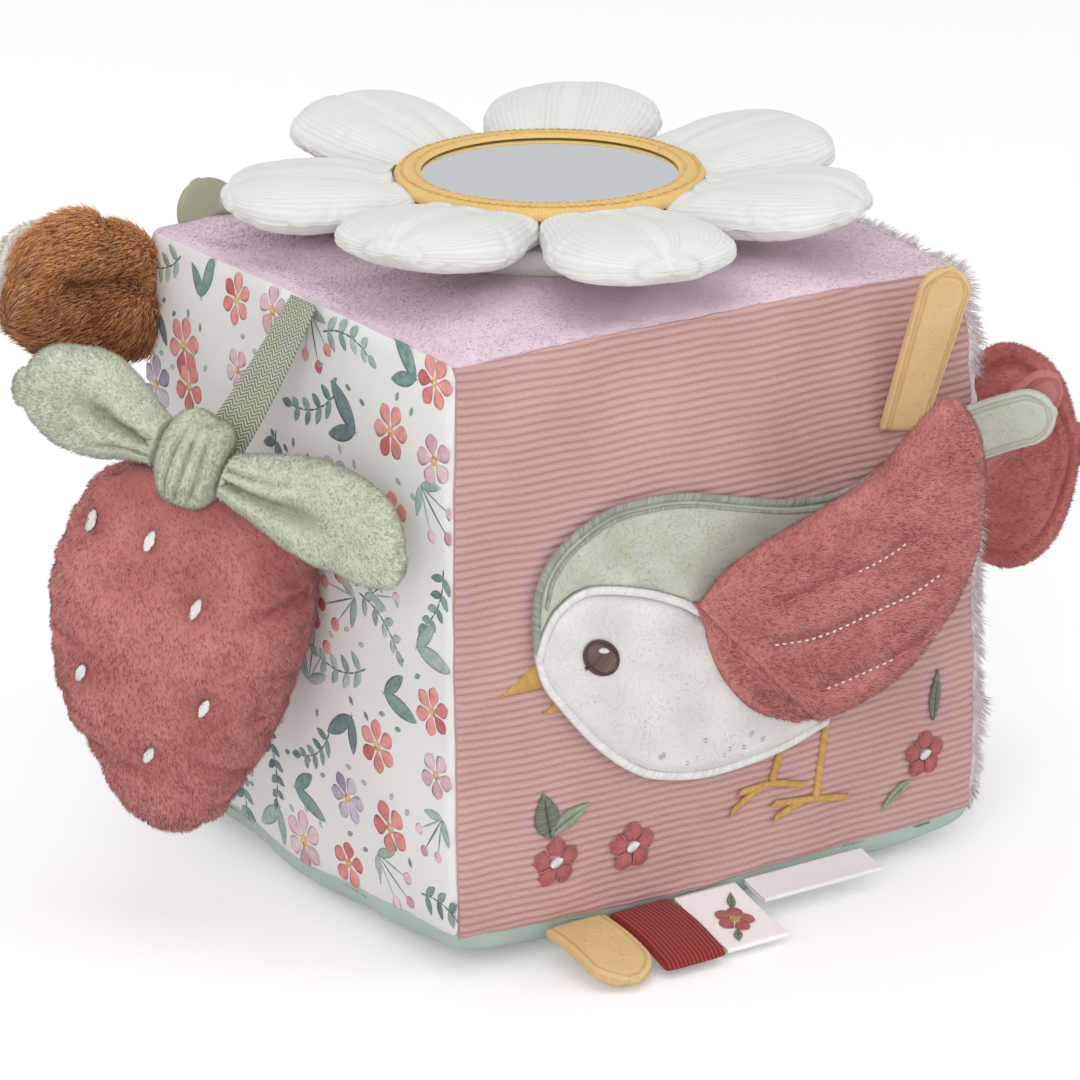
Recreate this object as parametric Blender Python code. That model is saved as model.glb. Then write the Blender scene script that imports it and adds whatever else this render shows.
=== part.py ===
"""A soft fabric activity block for babies, built from its sewn pieces.

The block stands on its stuffed base with +Z up, and the origin is on the ground under its
middle. The ribbed face with the bird looks along -Y, the printed face along -X and the
fleece face along +X. Lengths are in metres. A name that ends in SHARE or SHARES holds parts
of another size, chosen by hand.

Every sewn piece is a closed solid of its own: six cloth panels round a two-part foam filling
with a rattle in its middle, a daisy with a mirror, the bird with its loose wing and tail
feathers, the ribbon tabs in the bottom seam, and the soft pieces that hang at the sides.
"""

import math

import bmesh
import bpy
import numpy as np

# the stuffed cube
BLOCK_WIDTH = 0.1440  # across the bird's face, at the middle of its seams
BLOCK_DEPTH = 0.1364
BLOCK_HEIGHT = 0.1414
SEAM_GAP = 0.0003  # room between two pieces that touch
BASE_LIFT = 0.0072  # the filled base holds the cube's seams about this far off the ground
BASE_SWELL = 0.0065  # extra fullness of the base, which its own weight presses flat
SPHERE_SHARE = 0.12  # how far the stuffed cube leans towards a ball
SPHERE_SWELL_SHARE = 1.40  # size of that ball, as a share of the block
SPREAD_HIGH = 0.0015  # the fleece side stands out this much further at the top
SPREAD_LOW = 0.0090  # and this much further at the bottom
TOP_CLOTH = 0.0022
PRINT_CLOTH = 0.0012
CORD_CLOTH = 0.0018
FLEECE_CLOTH = 0.0040
FLEECE_PILE = 0.0080  # the fleece stands this far beyond the seam line
FLEECE_RIM_SHARE = 0.35  # height of its pile at the seams, of the pile
BACK_CLOTH = 0.0020
BASE_CLOTH = 0.0016
PANEL_CELLS = 10
FOAM_CELLS = 6

# the rattle in the foam
RATTLE_RADIUS = 0.0180
RATTLE_WALL = 0.0016
RATTLE_POCKET_GAP = 0.0004
RATTLE_BALL_RADIUS = 0.0060
RATTLE_SEGMENTS = 20
RATTLE_RINGS = 6

# the daisy on the top
PETAL_COUNT = 7
PETAL_LENGTH = 0.0385
PETAL_WIDTH = 0.0440
PETAL_DEPTH = 0.0115
PETAL_GAP = 0.0010  # least room between two petals, also when they are raised
PETAL_RAISED = math.radians(45.0)  # as far as a petal folds up, from level
PETAL_FIRST_ANGLE = 153.5  # degrees from +X to the first petal
PETAL_SEAT = 0.0020  # the petal's fold line lies this far outside the ring
PETAL_TILTS = (3.0, 12.0, 7.5, 6.5, 6.5, 4.0, 8.0)  # degrees up from level, at rest
PETAL_TURNS = (0.0, 0.0, 0.0, 0.0, 0.0, 0.0, 3.5)  # degrees away from an even spacing
PETAL_WIDTH_SHARES = (
    (0.0, 0.76), (0.18, 0.86), (0.42, 0.97), (0.62, 1.0), (0.82, 0.88), (0.95, 0.60), (1.0, 0.34),
)
PETAL_DEPTH_SHARES = (
    (0.0, 0.50), (0.04, 0.68), (0.16, 0.86), (0.38, 1.0),
    (0.60, 1.0), (0.82, 0.88), (0.95, 0.55), (1.0, 0.22),
)
PETAL_DROOP_SHARE = 0.05  # how far the tip bends down, of the petal's length
RING_OUTER_RADIUS = 0.0367
RING_WIDTH = 0.0064
RING_HEIGHT = 0.0040
RING_LIP_REACH_SHARE = 0.47  # how far its lip reaches over the mirror, of the ring's width
RING_ROUND_SHARE = 0.16  # rounding of its edges, of the ring's width
RING_SEGMENTS = 36
MIRROR_THICKNESS = 0.0018
MIRROR_BACKING_HEIGHT = 0.0060
FLOWER_BASE_HEIGHT = 0.0045  # the felt disc under the petals, above the crown of the top

# the strawberry on its tape
TAPE_WIDTH = 0.0105
TAPE_THICKNESS = 0.0014
TAPE_PLACE_SHARE = -0.075  # place along the top seam from its middle, of the block's depth
BERRY_TURN = math.radians(36.0)  # the strawberry faces this far round from the bird's face
BERRY_HEIGHT = 0.0880
BERRY_WIDTH = 0.0620
BERRY_DEPTH = 0.0360
BERRY_EDGE_CLEARANCE = 0.0012  # its rear edge rests this close to the printed face
BERRY_TOP_SHARE = 0.801  # height of its top, of the block's height
BERRY_PLACE_SHARE = -0.025  # place along the face, of the block's depth
BERRY_WIDTH_SHARES = (
    (0.0, 0.34), (0.04, 0.60), (0.12, 0.84), (0.26, 0.97), (0.40, 1.0),
    (0.58, 0.91), (0.74, 0.75), (0.87, 0.56), (0.96, 0.38), (1.0, 0.20),
)
BERRY_DEPTH_SHARES = (
    (0.0, 0.22), (0.04, 0.44), (0.12, 0.70), (0.26, 0.92), (0.40, 1.0),
    (0.58, 0.95), (0.74, 0.82), (0.87, 0.60), (0.96, 0.38), (1.0, 0.18),
)
BERRY_SWAY_SHARES = ((0.0, 0.10), (0.25, 0.04), (0.5, 0.0), (0.75, -0.005), (1.0, -0.02))
KNOT_WIDTH = 0.0160
KNOT_HEIGHT = 0.0220
KNOT_DEPTH = 0.0170
KNOT_FORWARD = 0.0100  # the knot lies this far in front of the strawberry's middle
KNOT_RISE = 0.0045  # and its middle this far above the strawberry's top
KNOT_SIDE = -0.0030
BOW_LEAF_WIDTH = 0.0230
BOW_LEAF_DEPTH = 0.0140
BOW_LEAF_REACHES = {"left": (-0.0325, 0.0285, 0.0170), "right": (0.0220, -0.0500, -0.0170)}
BOW_LEAF_WIDTH_SHARES = (
    (0.0, 0.48), (0.12, 0.60), (0.35, 0.88), (0.60, 1.0), (0.82, 0.86), (0.94, 0.56), (1.0, 0.30),
)
BOW_LEAF_DEPTH_SHARES = (
    (0.0, 0.62), (0.12, 0.80), (0.35, 1.0), (0.60, 0.94), (0.82, 0.72), (0.94, 0.44), (1.0, 0.20),
)
BOW_SAG_SHARE = 0.06

# the bird on the ribbed face
APPLIQUE_DEPTH = 0.0024
BIRD_TOP_SHARES = (
    (-0.358, 0.006), (-0.356, 0.073), (-0.340, 0.123), (-0.301, 0.165), (-0.227, 0.202),
    (-0.151, 0.209), (-0.075, 0.203), (0.022, 0.179), (0.120, 0.156), (0.220, 0.150),
    (0.300, 0.170), (0.388, 0.228),
)
BIRD_SPLIT_SHARES = (
    (-0.354, -0.001), (-0.342, 0.027), (-0.318, 0.061), (-0.264, 0.083), (-0.169, 0.064),
    (-0.092, 0.032), (-0.044, 0.005), (0.068, -0.021), (0.192, 0.011), (0.312, 0.103), (0.412, 0.193),
)
BIRD_BELLY_SHARES = (
    (-0.354, -0.005), (-0.343, -0.047), (-0.320, -0.085), (-0.244, -0.176), (-0.166, -0.239),
    (-0.093, -0.265), (-0.010, -0.274), (0.109, -0.263), (0.209, -0.236), (0.302, -0.157),
    (0.372, -0.027), (0.412, 0.173),
)
APPLIQUE_CELLS = 16
APPLIQUE_ROWS = 4

# the bird's wing
WING_DEPTH = 0.0095  # over both plush layers at the thickest place
WING_FILM = 0.0006  # crinkle film between the layers
WING_LIFT = math.radians(19.0)  # angle between the wing and the face at rest
WING_SEAT = 0.0026  # height of the wing's fold line above the bird
WING_FOLD_SHARES = ((-0.075, 0.031), (0.162, -0.213))
WING_RIM_SHARES = (  # the hem's rim, before it moves away from the fold line with the hem
    (-0.042, -0.005), (-0.035, -0.031), (-0.017, -0.073), (0.016, -0.119),
    (0.053, -0.158), (0.099, -0.188), (0.152, -0.211),
)
WING_HEM_END_SHARES = (0.12, 0.92)  # where the hem starts and ends along the fold line
WING_LEADING_SHARES = (
    (-0.075, 0.031), (-0.040, 0.101), (0.015, 0.150), (0.103, 0.200),
    (0.190, 0.252), (0.249, 0.324), (0.290, 0.372),
)
WING_TRAILING_SHARES = (
    (0.162, -0.213), (0.219, -0.188), (0.292, -0.140), (0.358, -0.041), (0.392, 0.081), (0.387, 0.210),
    (0.360, 0.310), (0.318, 0.369),
)
WING_CHANNELS = 3
WING_CHANNEL_SHARE = 0.16  # depth of a stitched channel, of the wing's depth
WING_HEM_SHARES = (0.95, 0.20)  # height of the sewn-down hem at the fold line and at its rim, of the seat
WING_FOLD_ROOM = 0.0014  # the hem ends this far before the fold line
WING_CELLS = 12
WING_ROWS = 12

# the bird's tail feathers
FEATHER_WIDTH = 0.0150
FEATHER_DEPTH = 0.0030
FEATHER_ROOT_SHARES = {"mustard": (0.352, 0.234), "sage": (0.426, 0.200), "coral": (0.458, 0.140)}
FEATHER_LAYERS = {"mustard": 0, "sage": 1, "coral": 0}  # the sage one is sewn in over the coral one
FEATHER_REACHES = {
    "mustard": (0.0065, -0.0090, 0.0405),
    "sage": (0.0235, -0.0120, 0.0040),
    "coral": (0.0280, -0.0050, 0.0200),
}
FEATHER_ACROSS_SHARES = {  # the way its width runs at the tip; at the root it lies flat on the face
    "mustard": (0.93, -0.34, -0.15), "sage": (0.05, -0.20, 0.97), "coral": (-0.42, -0.20, 0.88),
}
FEATHER_BEND_SHARES = {"mustard": 0.0, "sage": -0.06, "coral": 0.02}
TAB_WIDTH_SHARES = (
    (0.0, 0.94), (0.10, 0.98), (0.40, 1.0), (0.72, 1.0), (0.86, 0.90), (0.95, 0.66), (1.0, 0.34),
)
TAB_DEPTH_SHARES = ((0.0, 0.66), (0.03, 0.95), (0.15, 1.0), (0.85, 1.0), (0.96, 0.80), (1.0, 0.40))

# ribbon tabs in the bottom seam
RIBBON_TIP_HEIGHT = 0.0006  # the tips hang this far above the ground
RIBBON_FIRST_SHARE = -0.3255  # left edge of the first ribbon from the middle, of the block's width
RIBBON_GAPS = {"tab_mustard": 0.0, "tab_burgundy": 0.0014, "tab_satin": 0.0014, "tab_label": 0.0028}
RIBBON_WIDTHS = {"tab_mustard": 0.0160, "tab_burgundy": 0.0165, "tab_satin": 0.0175, "tab_label": 0.0345}
RIBBON_LENGTHS = {"tab_mustard": 0.0255, "tab_burgundy": 0.0240, "tab_satin": 0.0225, "tab_label": 0.0090}
RIBBON_DEPTHS = {"tab_mustard": 0.0030, "tab_burgundy": 0.0026, "tab_satin": 0.0014, "tab_label": 0.0012}
RIBBON_SQUARE_SHARES = ((0.0, 0.97), (0.2, 1.0), (0.9, 1.0), (1.0, 0.97))

# soft pieces at the sides
BRUSH_LENGTH = 0.0400
BRUSH_HEIGHT = 0.0385
BRUSH_DEPTH = 0.0200
BRUSH_LINING = 0.0030  # pale lining on the brush's rear side
BRUSH_PLACE_SHARE = 0.360  # height of its root above the block's middle, of the block's height
BRUSH_RISE_SHARE = 0.30
BRUSH_WIDTH_SHARES = (
    (0.0, 0.62), (0.10, 0.80), (0.30, 0.98), (0.55, 1.0), (0.78, 0.86), (0.93, 0.56), (1.0, 0.26),
)
BRUSH_DEPTH_SHARES = (
    (0.0, 0.40), (0.06, 0.62), (0.30, 0.95), (0.55, 1.0), (0.78, 0.84), (0.93, 0.52), (1.0, 0.22),
)
LEAF_TAB_WIDTH = 0.0165
LEAF_TAB_LENGTH = 0.0082
LEAF_TAB_DEPTH = 0.0030
LEAF_TAB_PLACE_SHARE = 0.375  # place along the back seam, of the block's width
FLAP_LENGTH = 0.0315
FLAP_WIDTH = 0.0620
FLAP_DEPTH = 0.0080
FLAP_HEIGHT_SHARE = 0.100  # height of its root above the block's middle, of the block's height
FLAP_PLACE_SHARE = -0.360  # place across the fleece, of the block's depth
FLAP_WIDTH_SHARES = (
    (0.0, 0.80), (0.15, 0.92), (0.40, 1.0), (0.65, 0.90), (0.84, 0.66), (0.95, 0.40), (1.0, 0.20),
)
FLAP_DEPTH_SHARES = ((0.0, 0.55), (0.05, 0.70), (0.35, 1.0), (0.70, 0.96), (0.90, 0.66), (1.0, 0.30))
FLAP_FORWARD_SHARE = 0.30  # how far its tip leans forward, of its reach
FLAP_RISE_SHARE = 0.08

# counts for the padded pieces
BLADE_SIDES = 14
BLADE_RINGS = 9
TAB_SIDES = 12
TAB_RINGS = 7
BERRY_SIDES = 20
BERRY_RINGS = 13
CURVE_DETAIL = 60

# Lengths that follow from the ones above.
HALVES = np.array((BLOCK_WIDTH, BLOCK_DEPTH, BLOCK_HEIGHT)) / 2
CENTRE = np.array((0.0, 0.0, BLOCK_HEIGHT / 2 + BASE_LIFT))
CROWNS = HALVES * (1 - SPHERE_SHARE + SPHERE_SHARE * SPHERE_SWELL_SHARE)  # from the middle to each crown
SEAMS = HALVES * (1 - SPHERE_SHARE + SPHERE_SHARE * SPHERE_SWELL_SHARE / math.sqrt(2))  # and to its seams

RIGHT, BEHIND, UP = np.eye(3)
FACES = {  # the directions that run right, up and out on each face, seen from outside
    "front": (RIGHT, UP, -BEHIND),
    "left": (-BEHIND, UP, -RIGHT),
    "right": (BEHIND, UP, RIGHT),
    "back": (-RIGHT, UP, BEHIND),
    "top": (RIGHT, BEHIND, UP),
    "base": (RIGHT, -BEHIND, -UP),
}


def unit(vector):
    """The vector at length one."""
    vector = np.asarray(vector, float)
    return vector / np.linalg.norm(vector, axis=-1, keepdims=True)


def curve_through(points, count):
    """A smooth curve of `count` points through the given points."""
    points = np.asarray(points, float)
    run = np.vstack([2 * points[0] - points[1], points, 2 * points[-1] - points[-2]])
    place = np.linspace(0, len(points) - 1, count)
    start = np.minimum(place.astype(int), len(points) - 2)
    t = (place - start)[:, None]
    a, b, c, d = (run[start + step] for step in range(4))
    square, cube = 2 * a - 5 * b + 4 * c - d, 3 * b - a - 3 * c + d
    return (2 * b + (c - a) * t + square * t**2 + cube * t**3) / 2


def share_at(shares, places):
    """The smooth share at each place between 0 and 1, from a table of (place, share)."""
    curve = curve_through(shares, CURVE_DETAIL)
    return np.interp(places, curve[:, 0], curve[:, 1])


def even_curve(points, count):
    """The smooth curve through the points, with its points evenly spaced along it."""
    curve = curve_through(points, CURVE_DETAIL)
    travelled = np.r_[0, np.cumsum(np.linalg.norm(np.diff(curve, axis=0), axis=1))]
    wanted = np.linspace(0, travelled[-1], count)
    return np.stack([np.interp(wanted, travelled, curve[:, axis]) for axis in range(curve.shape[1])], axis=1)


def spread_at(height):
    """How much further the fleece side stands out, at a height above the block's middle."""
    low = (1 - height / HALVES[2]) / 2
    return SPREAD_HIGH + (SPREAD_LOW - SPREAD_HIGH) * low


def spread(points):
    """Points about the block's middle, moved out towards the fleece side; its far side stays."""
    share = (1 + points[..., :1] / HALVES[0]) / 2
    return points + share * spread_at(points[..., 2:]) * RIGHT


def puffed(places, grow=0.0):
    """Points of the stuffed cube, about its middle, for points on the surface of the cube of side 2."""
    ball = SPHERE_SHARE * SPHERE_SWELL_SHARE * unit(places)
    return spread((HALVES + grow) * ((1 - SPHERE_SHARE) * places + ball))


def base_drop(a, b):
    """How far the filled base hangs below the block's own underside, at places from -1 to 1."""
    return BASE_SWELL * np.cbrt((1 - a**8) * (1 - b**8))


def face_grid(face, cells, inset, grow=0.0, pile=0.0):
    """A grid over one face of the stuffed cube, with its border drawn in by `inset`.

    `grow` moves the whole face outwards, and `pile` is a fuller nap that rounds off at the seams.
    The cells are narrower towards the seams.
    """
    right, up, out = FACES[face]
    along = np.sin(np.linspace(-1, 1, cells + 1) * math.pi / 2) * (1 - inset / min(HALVES))
    a, b = np.meshgrid(along, along, indexing="ij")
    points = puffed(a[..., None] * right + b[..., None] * up + out, grow) + CENTRE
    rounded = np.sqrt((1 - a**8) * (1 - b**8))
    points += (pile * (FLEECE_RIM_SHARE + (1 - FLEECE_RIM_SHARE) * rounded))[..., None] * out
    if face == "base":
        points[..., 2] -= base_drop(a, b)
    return points


def skin_out(face, p, q):
    """How far a face's skin lies from the block's middle, at offsets p and q from the face's middle."""
    half_right, half_up, half_out = (abs(way) @ HALVES for way in FACES[face])
    p, q = np.broadcast_arrays(np.asarray(p, float) / half_right, np.asarray(q, float) / half_up)
    ball = np.zeros(p.shape)
    for _ in range(8):
        a, b = p / (1 - SPHERE_SHARE + ball), q / (1 - SPHERE_SHARE + ball)
        ball = SPHERE_SHARE * SPHERE_SWELL_SHARE / np.sqrt(a**2 + b**2 + 1)
    return half_out * (1 - SPHERE_SHARE + ball)


def on_face(face, p, q, lift):
    """Points on a face at offsets p (right) and q (up) from its middle, `lift` above its skin."""
    right, up, out = FACES[face]
    p, q = np.broadcast_arrays(np.asarray(p, float), np.asarray(q, float))
    if right[0]:
        # the offset that the spread then moves to p
        height = q if up[2] else SEAMS[2] * out[2]
        half_spread = spread_at(height) / 2
        p = right[0] * (right[0] * p - half_spread) / (1 + half_spread / HALVES[0])
    flat = p[..., None] * right + q[..., None] * up
    return CENTRE + spread(flat + (skin_out(face, p, q) + lift)[..., None] * out)


def blade_rings(
    spine, across, width, depth, widths, depths, sides, square=0.75, root_ahead=None, tip_ahead=None
):
    """Closed rings round a spine: a padded strip with its widths and depths given along it.

    `square` under 1 fills out the oval section towards its corners. `root_ahead` and `tip_ahead`
    set the way that the first and the last ring face.
    """
    spine = np.asarray(spine, float)
    ahead = unit(np.gradient(spine, axis=0))
    if root_ahead is not None:
        ahead[0] = root_ahead
    if tip_ahead is not None:
        ahead[-1] = tip_ahead
    across = unit(across - (ahead * across).sum(axis=1, keepdims=True) * ahead)
    normal = np.cross(ahead, across)
    turn = 2 * math.pi * (np.arange(sides) + 0.5) / sides
    over, under = (np.sign(wave) * np.abs(wave) ** square for wave in (np.cos(turn), np.sin(turn)))
    half_width, half_depth = widths[:, None, None] * width / 2, depths[:, None, None] * depth / 2
    side = over[None, :, None] * across[:, None, :] * half_width
    rise = under[None, :, None] * normal[:, None, :] * half_depth
    return spine[:, None, :] + side + rise


def turned_rings(outline, segments):
    """Rings of points round the Z axis through the outline's (radius, height) points."""
    turn = 2 * math.pi * np.arange(segments) / segments
    wheel = np.stack([np.cos(turn), np.sin(turn), np.zeros(segments)], axis=1)
    return np.array([radius * wheel + height * UP for radius, height in outline])


def cloth(name, colour, roughness=0.9, metallic=0.0):
    """A Principled material of one colour."""
    material = bpy.data.materials.new(name)
    material.use_nodes = True
    shader = material.node_tree.nodes["Principled BSDF"]
    shader.inputs["Base Color"].default_value = (*colour, 1)
    shader.inputs["Roughness"].default_value = roughness
    shader.inputs["Metallic"].default_value = metallic
    material.diffuse_color = (*colour, 1)
    return material


def put(name, mesh_builder, material, pivot=(0, 0, 0), parent=None):
    """Adds an object whose origin is at the pivot; the builder fills a bmesh in world lengths."""
    mesh = bpy.data.meshes.new(name)
    build = bmesh.new()
    mesh_builder(build)
    bmesh.ops.recalc_face_normals(build, faces=build.faces)
    bmesh.ops.translate(build, verts=build.verts, vec=[-place for place in pivot])
    build.to_mesh(mesh)
    build.free()
    mesh.shade_smooth()
    mesh.set_sharp_from_angle(angle=math.radians(50))
    mesh.materials.append(material)
    piece = bpy.data.objects.new(name, mesh)
    piece.location = pivot
    if parent is not None:
        piece.parent = parent
        piece.location = np.asarray(pivot, float) - np.asarray(parent.location)
    bpy.context.scene.collection.objects.link(piece)
    return piece


def hinge_empty(name, pivot):
    """An empty on a joint's axis, which carries the pieces that turn together."""
    empty = bpy.data.objects.new(name, None)
    empty.location = pivot
    bpy.context.scene.collection.objects.link(empty)
    return empty


def slab(outer, inner):
    """A builder of the closed slab between two grids of the same shape."""

    def build(mesh):
        rows, columns = outer.shape[:2]
        layers = [[[mesh.verts.new(point) for point in row] for row in grid] for grid in (outer, inner)]
        for layer in layers:
            for i in range(rows - 1):
                for j in range(columns - 1):
                    mesh.faces.new((layer[i][j], layer[i + 1][j], layer[i + 1][j + 1], layer[i][j + 1]))
        border = [(i, 0) for i in range(rows)] + [(rows - 1, j) for j in range(1, columns)]
        border += [(i, columns - 1) for i in range(rows - 2, -1, -1)]
        border += [(0, j) for j in range(columns - 2, 0, -1)]
        for (i, j), (k, m) in zip(border, border[1:] + border[:1]):
            mesh.faces.new((layers[0][i][j], layers[0][k][m], layers[1][k][m], layers[1][i][j]))

    return build


def loft(rings):
    """A builder of the closed solid through rings of points, with a flat cap on both ends."""

    def build(mesh):
        loops = [[mesh.verts.new(point) for point in ring] for ring in rings]
        for first, second in zip(loops, loops[1:]):
            for j in range(len(first)):
                k = (j + 1) % len(first)
                mesh.faces.new((first[j], first[k], second[k], second[j]))
        mesh.faces.new(loops[0])
        mesh.faces.new(loops[-1])

    return build


def band(rings):
    """A builder of the closed ring-shaped solid through rings, the last joined to the first."""

    def build(mesh):
        loops = [[mesh.verts.new(point) for point in ring] for ring in rings]
        for first, second in zip(loops, loops[1:] + loops[:1]):
            for j in range(len(first)):
                k = (j + 1) % len(first)
                mesh.faces.new((first[j], first[k], second[k], second[j]))

    return build


def cut_by(piece, cutters):
    """Cuts hidden copies of other pieces out of a piece."""
    for cutter in cutters:
        cutter.hide_render = True
        cutter.display_type = "WIRE"
        cut = piece.modifiers.new(f"cut by {cutter.name}", "BOOLEAN")
        cut.operation = "DIFFERENCE"
        cut.solver = "EXACT"
        cut.object = cutter


def make_panels():
    """The six cloth faces, mitred along the seams."""
    panels = (
        ("top_panel", "top", TOP_CLOTH, 0, (0.58, 0.43, 0.56)),
        ("print_panel", "left", PRINT_CLOTH, 0, (0.86, 0.84, 0.82)),
        ("cord_panel", "front", CORD_CLOTH, 0, (0.70, 0.36, 0.31)),
        ("fleece_panel", "right", FLEECE_CLOTH, FLEECE_PILE, (0.86, 0.74, 0.72)),
        ("back_panel", "back", BACK_CLOTH, 0, (0.58, 0.43, 0.56)),
        ("base_panel", "base", BASE_CLOTH, 0, (0.52, 0.62, 0.55)),
    )
    for name, face, thickness, pile, colour in panels:
        outer = face_grid(face, PANEL_CELLS, SEAM_GAP, 0, pile)
        inner = face_grid(face, PANEL_CELLS, SEAM_GAP, -thickness)
        if face == "base":
            outer[..., 2] = np.maximum(outer[..., 2], 0)
            inner[..., 2] = np.maximum(inner[..., 2], thickness)
        put(name, slab(outer, inner), cloth(name, colour))


def foam_half(top):
    """One half of the filling: a dome of the stuffed cube, split level, with a round pocket."""
    shrink = -(max(FLEECE_CLOTH, TOP_CLOTH, CORD_CLOTH, PRINT_CLOTH, BACK_CLOTH, BASE_CLOTH) + SEAM_GAP)
    reach = np.linspace(0, 1, FOAM_CELLS + 1)
    side = 1 if top else -1
    around = 4 * FOAM_CELLS
    square = []
    for step in range(around):
        leg, along = divmod(step, FOAM_CELLS)
        slide = 2 * along / FOAM_CELLS - 1
        square.append(((slide, -1), (1, slide), (-slide, 1), (-1, -slide))[leg])
    square = np.array(square, float)
    rings = []
    pocket = RATTLE_RADIUS + RATTLE_POCKET_GAP
    corners = unit(np.c_[square, np.zeros(around)])
    for lift in np.linspace(1, 0, RATTLE_RINGS):
        # the pocket, from its deepest ring out to the split
        turn = lift * math.pi / 2 * (1 - 1 / (2 * RATTLE_RINGS))
        rings.append(pocket * (corners * math.cos(turn) + side * math.sin(turn) * UP))
    rings = [ring + CENTRE + side * SEAM_GAP / 2 * UP for ring in rings]
    for height in reach:
        rings.append(puffed(np.c_[square, np.full(around, side * height)], shrink) + CENTRE)
        rings[-1][:, 2] += side * SEAM_GAP / 2 * (1 - height)
    for inward in reach[1:-1][::-1]:
        rings.append(puffed(np.c_[square * inward, np.full(around, side)], shrink) + CENTRE)
        if not top:
            rings[-1][:, 2] -= base_drop(*(square.T * inward))
    if not top:
        rings = [np.maximum(ring, [-BLOCK_WIDTH, -BLOCK_DEPTH, BASE_CLOTH + SEAM_GAP]) for ring in rings]
    return loft(rings)


def make_filling():
    """Two foam halves round a rattle: a cup, its cap and a ball that lies loose in them."""
    foam = cloth("foam", (0.90, 0.88, 0.82))
    put("foam_lower", foam_half(False), foam)
    put("foam_upper", foam_half(True), foam)
    shell = cloth("rattle_shell", (0.75, 0.76, 0.78), roughness=0.4)
    turns = np.linspace(0, math.pi / 2, RATTLE_RINGS) * (1 - 1 / (2 * RATTLE_RINGS))
    for name, side in (("rattle_cup", -1), ("rattle_cap", 1)):
        rise = side * SEAM_GAP / 2
        outside = [(RATTLE_RADIUS * math.cos(t), rise + side * RATTLE_RADIUS * math.sin(t)) for t in turns]
        hollow = RATTLE_RADIUS - RATTLE_WALL
        inside = [(hollow * math.cos(t), rise + side * hollow * math.sin(t)) for t in turns[::-1]]
        rings = turned_rings(outside[::-1] + inside[::-1], RATTLE_SEGMENTS) + CENTRE
        put(name, loft(rings), shell)
    drop = RATTLE_RADIUS - RATTLE_WALL - RATTLE_BALL_RADIUS - SEAM_GAP
    middle = CENTRE - drop * UP
    turns = np.linspace(-1, 1, RATTLE_RINGS) * math.pi / 2 * (1 - 1 / (2 * RATTLE_RINGS))
    ball = [(RATTLE_BALL_RADIUS * math.cos(t), RATTLE_BALL_RADIUS * math.sin(t)) for t in turns]
    rings = turned_rings(ball, RATTLE_SEGMENTS // 2) + middle
    put("rattle_ball", loft(rings), cloth("rattle_ball", (0.80, 0.55, 0.25), roughness=0.4), pivot=middle)


PAD_TOP = CENTRE[2] + CROWNS[2] + FLOWER_BASE_HEIGHT
PETAL_AXIS_HEIGHT = PAD_TOP + SEAM_GAP + PETAL_DEPTH * PETAL_DEPTH_SHARES[0][1] / 2
PETAL_AXIS_RADIUS = RING_OUTER_RADIUS + PETAL_SEAT
RING_BOTTOM = PAD_TOP + 2 * SEAM_GAP + MIRROR_BACKING_HEIGHT


def make_flower_base():
    """The felt disc under the petals, which follows the crown of the top."""
    radius = PETAL_AXIS_RADIUS
    rings_out = np.linspace(0, 1, 5)[1:]
    turn = 2 * math.pi * np.arange(RING_SEGMENTS) / RING_SEGMENTS
    x, y = (radius * rings_out[:, None] * wave[None, :] for wave in (np.cos(turn), np.sin(turn)))
    under = on_face("top", x, y, SEAM_GAP)
    over = np.stack([x, y, np.full(x.shape, PAD_TOP)], axis=-1)
    rings = np.concatenate([under, over[::-1]])
    put("flower_base", loft(rings), cloth("flower_base", (0.85, 0.82, 0.76)))


def make_mirror():
    """The padded backing, the mirror disc on it and the bound ring that holds its edge."""
    inner_radius = RING_OUTER_RADIUS - RING_WIDTH
    round_off = RING_WIDTH * RING_ROUND_SHARE
    mirror_radius = inner_radius + RING_WIDTH * RING_LIP_REACH_SHARE
    lip_under = RING_BOTTOM + MIRROR_THICKNESS + SEAM_GAP
    ring_top = RING_BOTTOM + RING_HEIGHT
    outline = (
        (inner_radius, lip_under),
        (inner_radius, ring_top - round_off),
        (inner_radius + round_off, ring_top),
        (RING_OUTER_RADIUS - round_off, ring_top),
        (RING_OUTER_RADIUS, ring_top - round_off),
        (RING_OUTER_RADIUS, RING_BOTTOM),
        (mirror_radius + SEAM_GAP, RING_BOTTOM),
        (mirror_radius + SEAM_GAP, lip_under),
    )
    binding = cloth("mirror_ring", (0.75, 0.48, 0.12))
    put("mirror_ring", band(turned_rings(outline, RING_SEGMENTS)), binding)
    glass = ((mirror_radius, RING_BOTTOM), (mirror_radius, RING_BOTTOM + MIRROR_THICKNESS))
    silver = cloth("mirror_disc", (0.62, 0.66, 0.70), roughness=0.08, metallic=1.0)
    put("mirror_disc", loft(turned_rings(glass, RING_SEGMENTS)), silver)
    felt_radius = RING_OUTER_RADIUS - round_off
    felt_bottom = PAD_TOP + SEAM_GAP
    felt = ((felt_radius, felt_bottom), (felt_radius, felt_bottom + MIRROR_BACKING_HEIGHT))
    backing = cloth("mirror_backing", (0.85, 0.82, 0.76))
    put("mirror_backing", loft(turned_rings(felt, RING_SEGMENTS)), backing)


def petal_pivot(number):
    """The petal's outward direction and the middle of its fold line."""
    angle = math.radians(PETAL_FIRST_ANGLE - number * 360 / PETAL_COUNT + PETAL_TURNS[number])
    outward = np.array((math.cos(angle), math.sin(angle), 0))
    return outward, PETAL_AXIS_RADIUS * outward + PETAL_AXIS_HEIGHT * UP


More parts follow.
